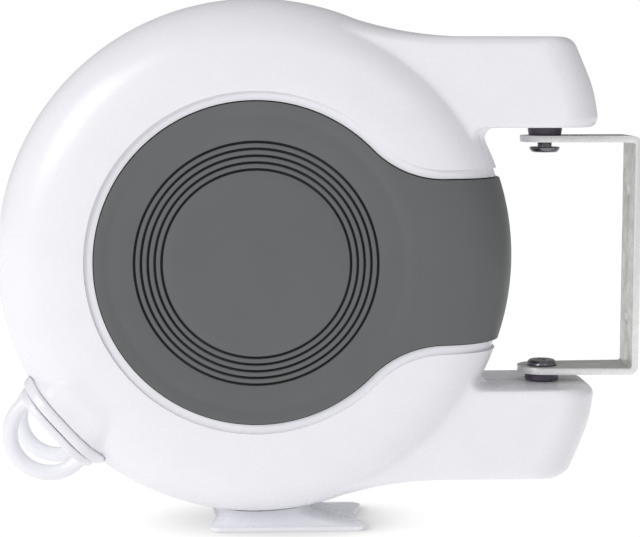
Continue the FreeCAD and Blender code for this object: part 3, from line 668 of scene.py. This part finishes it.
@dataclass(frozen=True)
class Keyhole:
    """Outline of the grey panel: a disc with a band to the right."""

    disc: float = 60.4
    band: float = 31.0
    flare: float = 38.0
    reach: float = 108.0

    def parts(self, widen: float) -> tuple[float, float, float, float, float]:
        """The outline's radii and where the flare's centre lies.

        Args:
            widen: how far the outline is moved out.
        Returns:
            Disc radius, half band, flare radius, and the centre's x and z.
        """
        disc, band, flare = self.disc + widen, self.band + widen, self.flare - widen
        middle_z = band + flare
        return disc, band, flare, math.sqrt((disc + flare) ** 2 - middle_z ** 2), middle_z

    def holds(self, x: float, z: float, widen: float) -> bool:
        """Says whether a point lies inside the widened outline.

        Args:
            x: the point's place along X from the reel's centre.
            z: its height.
            widen: how far the outline is moved out.
        Returns:
            True inside.
        """
        disc, band, flare, middle_x, middle_z = self.parts(widen)
        if x > middle_x:
            return abs(z) < band
        if math.hypot(x, z) < disc:
            return True
        past_meeting = x > middle_x * disc / (disc + flare)
        return past_meeting and math.hypot(x - middle_x, abs(z) - middle_z) > flare \
            and abs(z) < middle_z

    def outline(self, widen: float = 0.0) -> list[Point2]:
        """Args: widen: how far the outline is moved out. Returns: its points."""
        disc, band, flare, middle_x, middle_z = self.parts(widen)
        meet = math.degrees(math.atan2(middle_z, middle_x))
        upper = arc((middle_x, middle_z), flare, 270.0, 180.0 + meet, 20)
        lower = [(x, -z) for x, z in reversed(upper)]
        round_part = arc((0.0, 0.0), disc, meet, 360.0 - meet, 160)
        return [(self.reach, band)] + upper + round_part[1:-1] + lower + [(self.reach, -band)]


@dataclass(frozen=True)
class Arm:
    """One of the two arms that reach round the bracket, in mm."""

    form: ReelForm = ReelForm()
    root_x: float = 30.0
    inner: float = 50.1
    outer: float = 84.5
    half_depth: float = 25.0
    inner_end: float = 132.3
    outer_end: float = 121.5
    inner_round: float = 1.0
    outer_round: float = 4.5
    sweep: float = 150.0
    sweep_x: float = 58.0
    inner_corner: float = 3.5
    outer_corner: float = 6.5
    tip_height: float = 14.5
    tip_back: float = 2.3
    tip_bow: float = 50.0
    pocket_round: float = 4.5
    end_round: float = 16.0
    sink: float = 0.3

    def pull(self, radius: float, depth: float) -> float:
        """How far a rounded edge comes in at one depth.

        Args:
            radius: the rounding.
            depth: distance from the middle plane.
        Returns:
            The distance, nothing before the rounding starts.
        """
        over = depth - (self.half_depth - radius)
        return radius - math.sqrt(max(radius ** 2 - over ** 2, 0.0)) if over > 0 else 0.0

    def outline(self, depth: float) -> list[Point2]:
        """The arm's outline seen from the front, at one depth.

        Args:
            depth: distance from the middle plane.
        Returns:
            (x, z) points; the rounded edges pull them in near the full depth.
        """
        low, high, end = (self.pull(radius, depth) for radius in
                          (self.inner_round, self.outer_round, self.end_round))
        body = self.form.reach(depth)
        root_z = math.sqrt(body ** 2 - self.root_x ** 2) - self.sink
        low_z = self.inner - self.pocket_round * 1.3
        low_x = math.sqrt(body ** 2 - low_z ** 2) - self.sink
        pocket_x = math.sqrt(body ** 2 - (self.inner + low) ** 2)
        return rounded([
            (self.root_x, low_z, 0.0),
            (low_x, low_z, 0.0),
            (pocket_x, self.inner + low, self.pocket_round),
            (self.inner_end - end, self.inner + low, self.inner_corner),
            (self.inner_end - self.tip_back - end, self.inner + self.tip_height, self.tip_bow),
            (self.outer_end - end, self.outer - high, self.outer_corner),
            (self.sweep_x, self.outer - high, self.sweep),
            (self.root_x, root_z, 0.0),
        ], 10)

    def build(self, name: str, up: int) -> bpy.types.Object:
        """Args: name: the object's name. up: 1 or -1. Returns: the arm as a solid."""
        depths = [self.half_depth - self.end_round * (1.0 - math.sin(math.radians(a)))
                  for a in (0, 12, 24, 36, 47, 57, 66, 74, 80, 85, 90)]
        levels = [-depth for depth in reversed(depths)] + depths
        loops = [[(x, level, z * up) for x, z in self.outline(abs(level))]
                 for level in levels]
        return lofted(name, loops, Layout().reel)


class Housing:
    """The white shells with the arms and the line outlet."""

    form = ReelForm()
    keyhole = Keyhole()
    upper_arm = Arm()
    lower_arm = Arm(outer=85.6)
    layout = Layout()
    ledge_width = 3.8
    ledge_depth = 1.3
    seat_gap = 0.45
    seat_depth = 2.6
    seam_gap = 0.12
    joint_half = 0.38
    joint_depth = 0.7
    below_ledge = 0.45
    voxel = 0.8
    relax_passes = 4
    post_circle = 84.0
    post_angles = (110.0, 170.0, 300.0)
    arm_post = (84.0, 67.0)
    bush_seat = (4.7, 45.0)
    eyelet_radius = 4.55
    access_radius = 3.5
    boss_half = (20.0, 32.0, 15.0)
    plate_seat_half = (21.8, 33.3, 16.3)
    plate_seat_level = 93.1

    def outside(self) -> bpy.types.Object:
        """Args: none. Returns: body, arms and outlet boss melted into one smooth solid."""
        half = self.form.profile()[1:]
        whole = [(r, -h) for r, h in reversed(half)] + half[1:]
        solid = turned("housing_form", whole, 256, self.layout.turned_reel)
        pieces = [self.upper_arm.build("upper_arm", 1), self.lower_arm.build("lower_arm", -1),
                  self.boss()]
        for piece in pieces:
            combine(solid, piece, Cut.JOIN)
        return melted(solid, self.voxel, self.relax_passes)

    def half(self, whole: bpy.types.Object, name: str, inset: float,
             gap: float) -> bpy.types.Object:
        """Cuts the front half out of the whole form.

        Args:
            whole: the form.
            name: the new object's name.
            inset: how far its surface is moved in.
            gap: how far the cut stays from the middle plane.
        Returns:
            The half as a new object.
        """
        part = bpy.data.objects.new(name, whole.data.copy())
        bpy.context.scene.collection.objects.link(part)
        if inset > 0.0:
            shrink = part.modifiers.new("inset", "DISPLACE")
            shrink.strength = -inset * MM
            shrink.mid_level = 0.0
            bake(part)
        corners = [(-300.0, -150.0), (50.0, -150.0), (50.0, 150.0), (-300.0, 150.0)]
        return combine(part, prism("half_space", corners, -100.0, -gap, facing_front), Cut.KEEP)

    def paint(self, shell: bpy.types.Object, materials: Materials) -> None:
        """White outside; painted shade, a dark colour, on the faces in the joint and in the
        panel's seat.

        Args:
            shell: a shell.
            materials: the material library.
        Returns:
            Nothing.
        """
        shell.data.materials.clear()
        shell.data.materials.append(materials.get("moulded white ABS"))
        shell.data.materials.append(materials.get("painted shade in joint and seat"))
        for face in shell.data.polygons:
            x, z = face.center.x / MM - self.layout.reel_x, face.center.z / MM
            level = abs(face.center.y) / MM
            floor = self.form.height(math.hypot(x, z)) - self.ledge_depth - self.below_ledge
            # Painted shade: faces below the seat's floor and faces in the joint take the dark
            # colour in place of the shade these gaps would hold.
            painted_seat_shade = level < floor and self.keyhole.holds(x, z, self.seat_gap + 0.1)
            painted_joint_shade = level < self.joint_half - 0.02
            face.material_index = 1 if painted_seat_shade or painted_joint_shade else 0

    def boss(self) -> bpy.types.Object:
        """Args: none. Returns: the swelling that carries the line outlets."""
        half_x, half_y, corner = self.boss_half
        levels = ((62.0, 1.6), (74.0, 1.4), (84.0, 1.1), (89.0, 0.4), (93.5, 0.0))
        loops = [[(u, v, level) for u, v in slot_outline(half_x + more, half_y + more, corner)]
                 for level, more in levels]
        return lofted("outlet_boss", loops, self.layout.outlet(0.0))

    def build(self) -> list[bpy.types.Object]:
        """Args: none. Returns: the front and rear shells."""
        layout = self.layout
        whole = self.outside()
        front = self.half(whole, "shell_front_half", 0.0, self.joint_half)
        combine(front, self.half(whole, "joint", self.joint_depth, self.seam_gap), Cut.JOIN)
        remove(whole)
        for widen, depth in ((self.ledge_width, self.ledge_depth),
                             (self.seat_gap, self.seat_depth)):
            tool = prism("recess", self.keyhole.outline(widen), -60.0, 5.0, facing_front,
                         layout.reel)
            below = turned("below", self.form.profile(depth), 256, layout.turned_reel)
            combine(tool, below, Cut.TAKE)
            combine(front, tool, Cut.TAKE)
        combine(front, self.cavity(), Cut.TAKE)
        loops = [[(u, v, level) for u, v in slot_outline(*self.plate_seat_half)]
                 for level in (self.plate_seat_level, 115.0)]
        combine(front, lofted("plate_seat", loops, layout.outlet(0.0)), Cut.TAKE)
        seat_radius, seat_start = self.bush_seat
        for up in (1, -1):
            seat = rod("bush_seat", seat_radius, seat_start, 65.0, 48, layout.pivot(up))
            combine(front, seat, Cut.TAKE)
        hole = rod("eyelet_hole", self.eyelet_radius, 80.0, 105.0, 48,
                   layout.outlet(-layout.line_side))
        combine(front, hole, Cut.TAKE)
        rear = mirrored(front, "shell_rear_half")
        for x, z in self.posts():
            way = rod("access", self.access_radius, 12.0, 45.0, 40,
                      Matrix.Translation((layout.reel_x + x, 0, z))
                      @ Matrix.Rotation(math.radians(-90.0), 4, "X"))
            combine(rear, way, Cut.TAKE)
        for shell, node in ((front, "front_shell"), (rear, "rear_shell")):
            shade(shell, 30.0)
            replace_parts(shell, node)
        return [front, rear]

    def posts(self) -> list[Point2]:
        """Args: none. Returns: (x, z) places of the shell screws about the reel's centre."""
        round_body = [arc((0.0, 0.0), self.post_circle, angle, angle, 1)[0]
                      for angle in self.post_angles]
        x, z = self.arm_post
        return round_body + [(x, z), (x, -z)]

    def cavity(self) -> bpy.types.Object:
        """Args: none. Returns: the room inside the shells, as a solid."""
        corner = arc((76.0, 11.9), 18.0, 0.0, 90.0, 12)
        half = [(0.0, 30.0)] + [(r, h) for r, h in reversed(corner)]
        profile = [(r, h) for r, h in half] + [(94.0, -5.0), (0.0, -5.0)]
        return turned("cavity", profile, 128, self.layout.turned_reel)


class GreyPanel:
    """The grey key-hole panel with ring grooves."""

    form = ReelForm()
    keyhole = Keyhole()
    layout = Layout()
    thickness = 2.35
    groove_outer = 45.9
    groove_pitch = 2.54
    groove_width = 0.95
    groove_depth = 1.7
    rim_rise = 0.6
    crease = 55.7
    skin_gap = 0.1
    grooves = 5

    def face_profile(self) -> list[Point2]:
        """Profile of the panel's face: dome, grooves, crease, then the body's own curve.

        Args: none.
        Returns: (radius, height) points from the middle plane to the centre.
        """
        high = self.form.half_depth - self.skin_gap
        top = high - self.rim_rise
        body = [point for point in self.form.profile(self.skin_gap)
                if point[0] > self.form.flat_radius]
        points = body + [(60.4, high), (60.0, high), (58.0, high - 0.30 * self.rim_rise),
                         (56.6, high - 0.60 * self.rim_rise),
                         (self.crease + 0.2, high - 0.86 * self.rim_rise),
                         (self.crease - 0.4, high - 0.97 * self.rim_rise), (54.6, top),
                         (53.0, top)]
        for index in range(self.grooves):
            outer = self.groove_outer - self.groove_pitch * index
            inner = outer - self.groove_width
            points += [(outer + 0.28, top), (outer + 0.08, top - 0.05), (outer, top - 0.22),
                       (outer - 0.06, top - self.groove_depth),
                       (inner + 0.06, top - self.groove_depth),
                       (inner, top - 0.22), (inner - 0.08, top - 0.05), (inner - 0.28, top)]
        return points + [(30.0, top), (0.0, top)]

    def build(self) -> list[bpy.types.Object]:
        """Args: none. Returns: the front and rear panels."""
        layout = self.layout
        face = turned("panel_front_cover", self.face_profile(), 256, layout.turned_reel)
        inside = turned("inside", self.form.profile(self.thickness), 256, layout.turned_reel)
        combine(face, inside, Cut.TAKE)
        outline = prism("outline", self.keyhole.outline(), -60.0, -0.12, facing_front,
                        layout.reel)
        combine(face, outline, Cut.KEEP)
        soften(face, 0.35, 60.0, 3)
        face.data.materials.clear()
        shade(face, 30.0)
        rear = mirrored(face, "panel_rear_cover")
        for panel, node in ((face, "front_panel"), (rear, "rear_panel")):
            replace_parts(panel, node)
        return [face, rear]


# Outlets and handles -------------------------------------------------------------------------

class Outlet:
    """The outlet plate and the pull handles on it."""

    layout = Layout()
    lead_start = 94.85
    lead_end = 98.75
    line_radius = 1.5
    plate_half = (21.5, 33.0, 16.0)
    handle_half = (19.4, 15.5, 14.4)
    eyelet_radius = 4.55
    loop_radius, loop_tube = 15.0, 3.0
    loop_middle, loop_leg = 103.9, 5.0
    voxel = 0.35
    relax_passes = 5

    def stack(self, name: str, half: tuple[float, float, float],
              levels: Sequence[Point2], place: Matrix) -> bpy.types.Object:
        """A flat piece with rounded edges, as loops of one rounded rectangle.

        Args:
            name: the object's name.
            half: its half length, half width and corner radius in mm.
            levels: (height, how far the outline is moved in) from low to high.
            place: where it goes.
        Returns:
            The new object.
        """
        long, wide, corner = half
        loops = [[(u, v, level)
                  for u, v in slot_outline(long - inset, wide - inset, corner - inset, 12)]
                 for level, inset in levels]
        return lofted(name, loops, place)

    def plate(self) -> bpy.types.Object:
        """Args: none. Returns: the plate that the handles rest on."""
        levels = ((93.3, 1.0), (93.5, 0.4), (94.0, 0.1), (94.4, 0.0), (96.4, 0.0),
                  (96.9, 0.15), (97.2, 0.5), (97.3, 1.0))
        plate = self.stack("outlet_face", self.plate_half, levels, self.layout.outlet(0.0))
        for side in Side:
            hole = rod("hole", self.eyelet_radius, 90.0, 110.0, 48,
                       self.layout.outlet(self.layout.line_side * side.value))
            combine(plate, hole, Cut.TAKE)
        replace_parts(shade(plate), "outlet_plate")
        return plate

    def handle(self, side: Side) -> bpy.types.Object:
        """Args: side: front or rear. Returns: flange and finger loop as one moulding."""
        place = self.layout.outlet(self.layout.line_side * side.value)
        levels = ((97.8, 0.5), (98.0, 0.15), (98.4, 0.0), (99.9, 0.0), (100.5, 0.2),
                  (100.9, 0.6), (101.0, 1.0))
        handle = self.stack("handle_" + side.word, self.handle_half, levels, place)
        combine(handle, self.loop(place), Cut.JOIN)
        melted(handle, self.voxel, self.relax_passes)
        combine(handle, rod("hole", self.line_radius + 0.2, 92.0, 99.0, 32, place), Cut.TAKE)
        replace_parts(shade(handle, 50.0), side.word + "_pull_handle")
        return handle

    def loop(self, place: Matrix) -> bpy.types.Object:
        """Args: place: the outlet's transform. Returns: the half round finger loop."""
        bm = bmesh.new()
        middle, leg = self.loop_middle, self.loop_leg
        start = Matrix.Translation((self.loop_radius, 0.0, middle))
        ring = bmesh.ops.create_circle(bm, cap_ends=False, radius=self.loop_tube, segments=32,
                                       matrix=start)
        lead = bmesh.ops.extrude_edge_only(bm, edges=list(bm.edges))
        low = [item for item in lead["geom"] if isinstance(item, bmesh.types.BMVert)]
        bmesh.ops.translate(bm, vec=(0, 0, -leg), verts=low)
        edges = [edge for edge in bm.edges if all(vert in ring["verts"] for vert in edge.verts)]
        result = bmesh.ops.spin(bm, geom=edges, cent=(0, 0, middle), axis=(0, -1, 0),
                                angle=math.pi, steps=48)
        last = [item for item in result["geom_last"] if isinstance(item, bmesh.types.BMEdge)]
        tail = bmesh.ops.extrude_edge_only(bm, edges=last)
        end = [item for item in tail["geom"] if isinstance(item, bmesh.types.BMVert)]
        bmesh.ops.translate(bm, vec=(0, 0, -leg), verts=end)
        bmesh.ops.holes_fill(bm, edges=bm.edges)
        bmesh.ops.transform(bm, matrix=place, verts=bm.verts)
        return scene_object("loop", bm)

    def lead(self, side: Side) -> bpy.types.Object:
        """Args: side: front or rear. Returns: the line from outlet to handle."""
        place = self.layout.outlet(self.layout.line_side * side.value)
        levels = [self.lead_start + (self.lead_end - self.lead_start) * index / 40
                  for index in range(41)]
        radii = ([(0.0, levels[0])] + [(self.line_radius, level) for level in levels]
                 + [(0.0, levels[-1])])
        lead = turned("line_out_" + side.word, radii, 24, place)
        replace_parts(shade(lead), side.word + "_line_lead")
        return lead


# Cleats --------------------------------------------------------------------------------------

class Cleat:
    """One flared wing that the line winds round."""

    layout = Layout()

    rim_near, rim_far = 43.0, -18.4
    near_sweep, far_sweep = 2.8, 0.4
    corner = 3.0
    middle_gap = 2.2
    body_radius = 98.9
    voxel = 0.25
    relax_passes = 3
    rim_front = -20.5

    def outline(self, inset: float) -> list[Point2]:
        """The wing's outline seen from above: long front edge, swept ends.

        Args:
            inset: how far the front is moved in; the near end comes in faster.
        Returns:
            (x, y) points.
        """
        front = self.rim_front + inset
        near = self.rim_near - self.near_sweep * inset
        far = self.rim_far + self.far_sweep * inset
        corner = self.corner + 0.5 * inset
        return rounded([
            (far + 2.0, -self.middle_gap, 0.0), (far, front, corner + 1.0),
            (near, front, corner), (near - 4.0, -self.middle_gap, 0.0)], 10)

    def build(self, side: Side) -> bpy.types.Object:
        """Args: side: front or rear. Returns: the wing."""
        levels = ((-105.5, 0.5), (-105.3, 0.12), (-104.9, 0.0), (-104.1, 0.0), (-103.8, 0.15),
                  (-103.65, 0.5), (-103.7, 1.0), (-103.55, 2.0), (-103.1, 3.2), (-102.3, 4.4),
                  (-101.2, 5.6), (-99.7, 6.7), (-97.5, 7.4), (-92.5, 7.6))
        loops = [[(x, y, level) for x, y in self.outline(inset)] for level, inset in levels]
        wing = lofted("wing_" + side.word, loops, self.layout.reel)
        melted(wing, self.voxel, self.relax_passes)
        body = rod("body", self.body_radius, -60, 60, 256, self.layout.turned_reel)
        combine(wing, body, Cut.TAKE)
        if side is Side.REAR:
            front = wing
            wing = mirrored(front, "wing_back")
            remove(front)
        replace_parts(shade(wing, 50.0), side.word + "_cleat")
        return wing


# Bracket and pivot ---------------------------------------------------------------------------

class Bracket:
    """The U-shaped steel strip on the wall."""

    layout = Layout()
    strip = 2.5
    half_height = 46.6
    bend = 3.5
    nose = 9.7
    half_web = 11.3
    pivot_hole = 2.85
    wall_hole = 2.75
    wall_hole_height = 25.0

    def build(self) -> bpy.types.Object:
        """Args: none. Returns: the bent strip with its holes."""
        top, tip = self.half_height, self.layout.pivot_x - self.nose
        inner = self.bend - self.strip
        side = rounded([
            (tip, -top, 0.0), (0.0, -top, self.bend), (0.0, top, self.bend), (tip, top, 0.0),
            (tip, top - self.strip, 0.0), (-self.strip, top - self.strip, inner),
            (-self.strip, self.strip - top, inner), (tip, self.strip - top, 0.0)], 10)
        strip = prism("u_bracket", side, -self.half_web, self.half_web, facing_front)
        pivot = self.layout.pivot_x
        nose = arc((pivot, 0.0), self.nose, 90.0, 270.0, 40)
        plan = nose + [(0.0, -self.half_web), (5.0, -self.half_web), (5.0, self.half_web),
                       (0.0, self.half_web)]
        combine(strip, prism("plan", plan, -60.0, 60.0, from_above), Cut.KEEP)
        combine(strip, rod("hole", self.pivot_hole, -60, 60, 48, self.layout.pivot(1)), Cut.TAKE)
        for z in (-self.wall_hole_height, self.wall_hole_height):
            hole = rod("hole", self.wall_hole, -10, 10, 48,
                       Matrix.Translation((0, 0, z)) @ Matrix.Rotation(math.pi / 2, 4, "Y"))
            combine(strip, hole, Cut.TAKE)
        soften(strip, 0.28, 40.0, 2)
        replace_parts(shade(strip), "wall_bracket")
        return strip

    def paint(self, strip: bpy.types.Object, materials: Materials) -> None:
        """Gives the flat faces zinc and the cut edges bare steel.

        Args:
            strip: the bracket.
            materials: the material library.
        Returns:
            Nothing.
        """
        strip.data.materials.clear()
        strip.data.materials.append(materials.get("zinc plated steel"))
        strip.data.materials.append(materials.get("sheared steel edge"))
        for face in strip.data.polygons:
            normal, centre = face.normal, face.center
            sideways = abs(normal.y) > 0.45
            at_nose = abs(centre.z) > (self.half_height - self.strip - 0.1) * MM \
                and abs(normal.z) < 0.5 and centre.x < -self.bend * MM
            face.material_index = 1 if sideways or at_nose else 0


class Pivot:
    """Screws and bushes at the swivel."""

    layout = Layout()
    upper_seat, lower_seat = 42.1, 44.0
    shank_radius = 2.75

    def screw(self, up: int) -> bpy.types.Object:
        """Args: up: 1 for the upper screw, -1 for the lower. Returns: the screw."""
        seat = self.upper_seat if up > 0 else self.lower_seat
        crown = arc((3.6, seat), 2.35, 0.0, -62.0, 8)
        shank = self.shank_radius
        profile = ([(0.0, 61.0), (2.3, 61.0), (shank, 60.4), (shank, seat), (5.6, seat),
                    (5.95, seat - 0.35)] + crown[2:] + [(0.0, seat - 2.1)])
        place = self.layout.pivot(up)
        screw = turned("pan_screw_" + ("upper" if up > 0 else "lower"), profile, 64, place)
        for turn in (20.0, 110.0):
            slot = prism("slot", slot_outline(3.0, 0.55, 0.25, 3), seat - 4.0, seat - 0.9,
                         from_above, place @ Matrix.Rotation(math.radians(turn), 4, "Z"))
            combine(screw, slot, Cut.TAKE)
        soften(screw, 0.12, 40.0, 2)
        node = ("upper" if up > 0 else "lower") + "_pivot_screw"
        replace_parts(shade(screw), node)
        return screw

    def bush(self, up: int) -> bpy.types.Object:
        """Args: up: 1 for the upper bush, -1 for the lower. Returns: the bush."""
        profile = [(2.82, 46.7), (6.1, 46.7), (6.35, 46.9), (6.7, 49.2), (6.6, 49.5),
                   (4.6, 49.5), (4.6, 62.0), (2.82, 62.0)]
        place = self.layout.pivot(up)
        bush = turned("swivel_bush_" + ("upper" if up > 0 else "lower"), profile, 64, place)
        node = ("upper" if up > 0 else "lower") + "_pivot_bush"
        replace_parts(shade(bush), node)
        return bush


# Studio --------------------------------------------------------------------------------------

class Studio:
    """Camera, lights and floor; none of it belongs to the object."""

    floor_z = -105.5 * MM
    shadow_reach = 0.022
    sky = 0.385

    def camera(self) -> None:
        """Args: none. Returns: nothing; the scene gets its camera."""
        data = bpy.data.cameras.new("camera")
        data.sensor_width = 36.0
        data.lens = 101.25
        data.clip_start = 0.01
        camera = bpy.data.objects.new("camera", data)
        camera.location = (-0.155, -0.700, 0.0711)
        camera.rotation_euler = (math.radians(90.0 - 6.23), 0.0, math.radians(-2.545))
        bpy.context.scene.collection.objects.link(camera)
        bpy.context.scene.camera = camera

    def light(self, name: str, at: Sequence[float], size: float, power: float,
              target: Sequence[float] = (-0.12, 0.0, 0.0)) -> None:
        """Adds a soft square light.

        Args:
            name: its name.
            at: where it hangs, in metres.
            size: its side in metres.
            power: its power in watts.
            target: what it points at.
        Returns:
            Nothing.
        """
        data = bpy.data.lights.new(name, "AREA")
        data.energy = power
        data.size = size
        lamp = bpy.data.objects.new(name, data)
        lamp.location = at
        aim = Vector(target) - Vector(at)
        lamp.rotation_euler = aim.to_track_quat("-Z", "Y").to_euler()
        bpy.context.scene.collection.objects.link(lamp)

    def build(self) -> None:
        """Args: none. Returns: nothing; floor, world and lights are set."""
        self.camera()
        bm = bmesh.new()
        bmesh.ops.create_grid(bm, x_segments=1, y_segments=1, size=6000.0)
        floor = scene_object("floor", bm)
        floor.location.z = self.floor_z
        # Painted shadow: the floor glows evenly white and is dimmed where ambient occlusion, aimed
        # up towards the key light, meets the object, standing in for the object's cast shadow.
        white = bpy.data.materials.new("glowing floor with painted shadow")
        white.use_nodes = True
        tree = white.node_tree
        tree.nodes.clear()
        towards_light = add_node(tree, "ShaderNodeCombineXYZ", {"X": -0.62, "Y": -0.15, "Z": 0.77})
        shadow = add_node(tree, "ShaderNodeAmbientOcclusion", {
            "Distance": self.shadow_reach, "Normal": towards_light.outputs["Vector"]}, samples=12)
        glow = add_node(tree, "ShaderNodeMapRange", {
            "Value": shadow.outputs["AO"], "From Min": 0.10, "From Max": 0.80,
            "To Min": 0.42, "To Max": 1.02})
        paper = add_node(tree, "ShaderNodeEmission", {
            "Color": linear("FFFFFF"), "Strength": glow.outputs["Result"]})
        add_node(tree, "ShaderNodeOutputMaterial", {"Surface": paper.outputs["Emission"]})
        floor.data.materials.append(white)
        world = bpy.data.worlds.new("world")
        world.use_nodes = True
        tree = world.node_tree
        tree.nodes.clear()
        path = add_node(tree, "ShaderNodeLightPath")
        strength = add_node(tree, "ShaderNodeMapRange", {
            "Value": path.outputs["Is Camera Ray"], "To Min": self.sky, "To Max": 1.0})
        background = add_node(tree, "ShaderNodeBackground", {
            "Color": linear("FFFFFF"), "Strength": strength.outputs["Result"]})
        add_node(tree, "ShaderNodeOutputWorld", {"Surface": background.outputs["Background"]})
        bpy.context.scene.world = world
        self.light("key", (-1.3, -1.05, 0.80), 0.9, 14.0)
        self.light("fill", (0.4, -1.4, 0.9), 0.8, 1.2)
        bpy.context.scene.view_settings.view_transform = "Standard"


# Whole model ---------------------------------------------------------------------------------

CAD_FINISHES = {
    "front_eyelet": "dark purple-grey nylon", "rear_eyelet": "dark purple-grey nylon",
    "front_drum": "natural acetal", "rear_drum": "natural acetal",
    "divider_plate": "natural acetal",
    "front_line_coil": "vinyl covered line", "rear_line_coil": "vinyl covered line",
    "front_line_inner": "vinyl covered line", "rear_line_inner": "vinyl covered line",
    "front_mainspring": "blued spring steel", "rear_mainspring": "blued spring steel",
    "drum_axle": "ground axle steel",
    "cleat_screws": "dark nickel plating", "shell_screws": "dark nickel plating",
}


def paint(thing: bpy.types.Object, material: bpy.types.Material) -> None:
    """Args: thing: an object. material: its only material. Returns: nothing."""
    thing.data.materials.clear()
    thing.data.materials.append(material)


def main() -> None:
    """Builds the whole model over the CAD frame.

    Args: none.
    Returns: nothing; the scene holds the finished pieces, the studio and the camera.
    """
    logging.basicConfig(level=logging.INFO)
    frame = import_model()
    materials = Materials()
    for node, finish in CAD_FINISHES.items():
        paint(frame["nodes"][node], materials.get(finish))
        shade(frame["nodes"][node])
    white = materials.get("moulded white ABS")

    housing = Housing()
    shells = housing.build()
    panels = GreyPanel().build()
    outlet = Outlet()
    plate = outlet.plate()
    cleats = [Cleat().build(side) for side in Side]
    for piece in [plate] + cleats:
        paint(piece, white)
    for shell in shells:
        housing.paint(shell, materials)
    for piece in shells + [plate] + cleats:
        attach(piece, "housing")
    for piece in panels:
        paint(piece, materials.get("textured grey ABS"))
        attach(piece, "housing")
    for side in Side:
        handle = outlet.handle(side)
        paint(handle, white)
        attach(handle, side.word + "_pull")
        lead = outlet.lead(side)
        paint(lead, materials.get("vinyl covered line"))
        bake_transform(lead)
    bracket = Bracket()
    strip = bracket.build()
    bracket.paint(strip, materials)
    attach(strip, "bracket")
    pivot = Pivot()
    for up in (1, -1):
        screw, bush = pivot.screw(up), pivot.bush(up)
        paint(screw, materials.get("dark nickel plating"))
        paint(bush, materials.get("dark purple-grey nylon"))
        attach(screw, "housing")
        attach(bush, "housing")
    Studio().build()


if __name__ == "__main__":
    main()
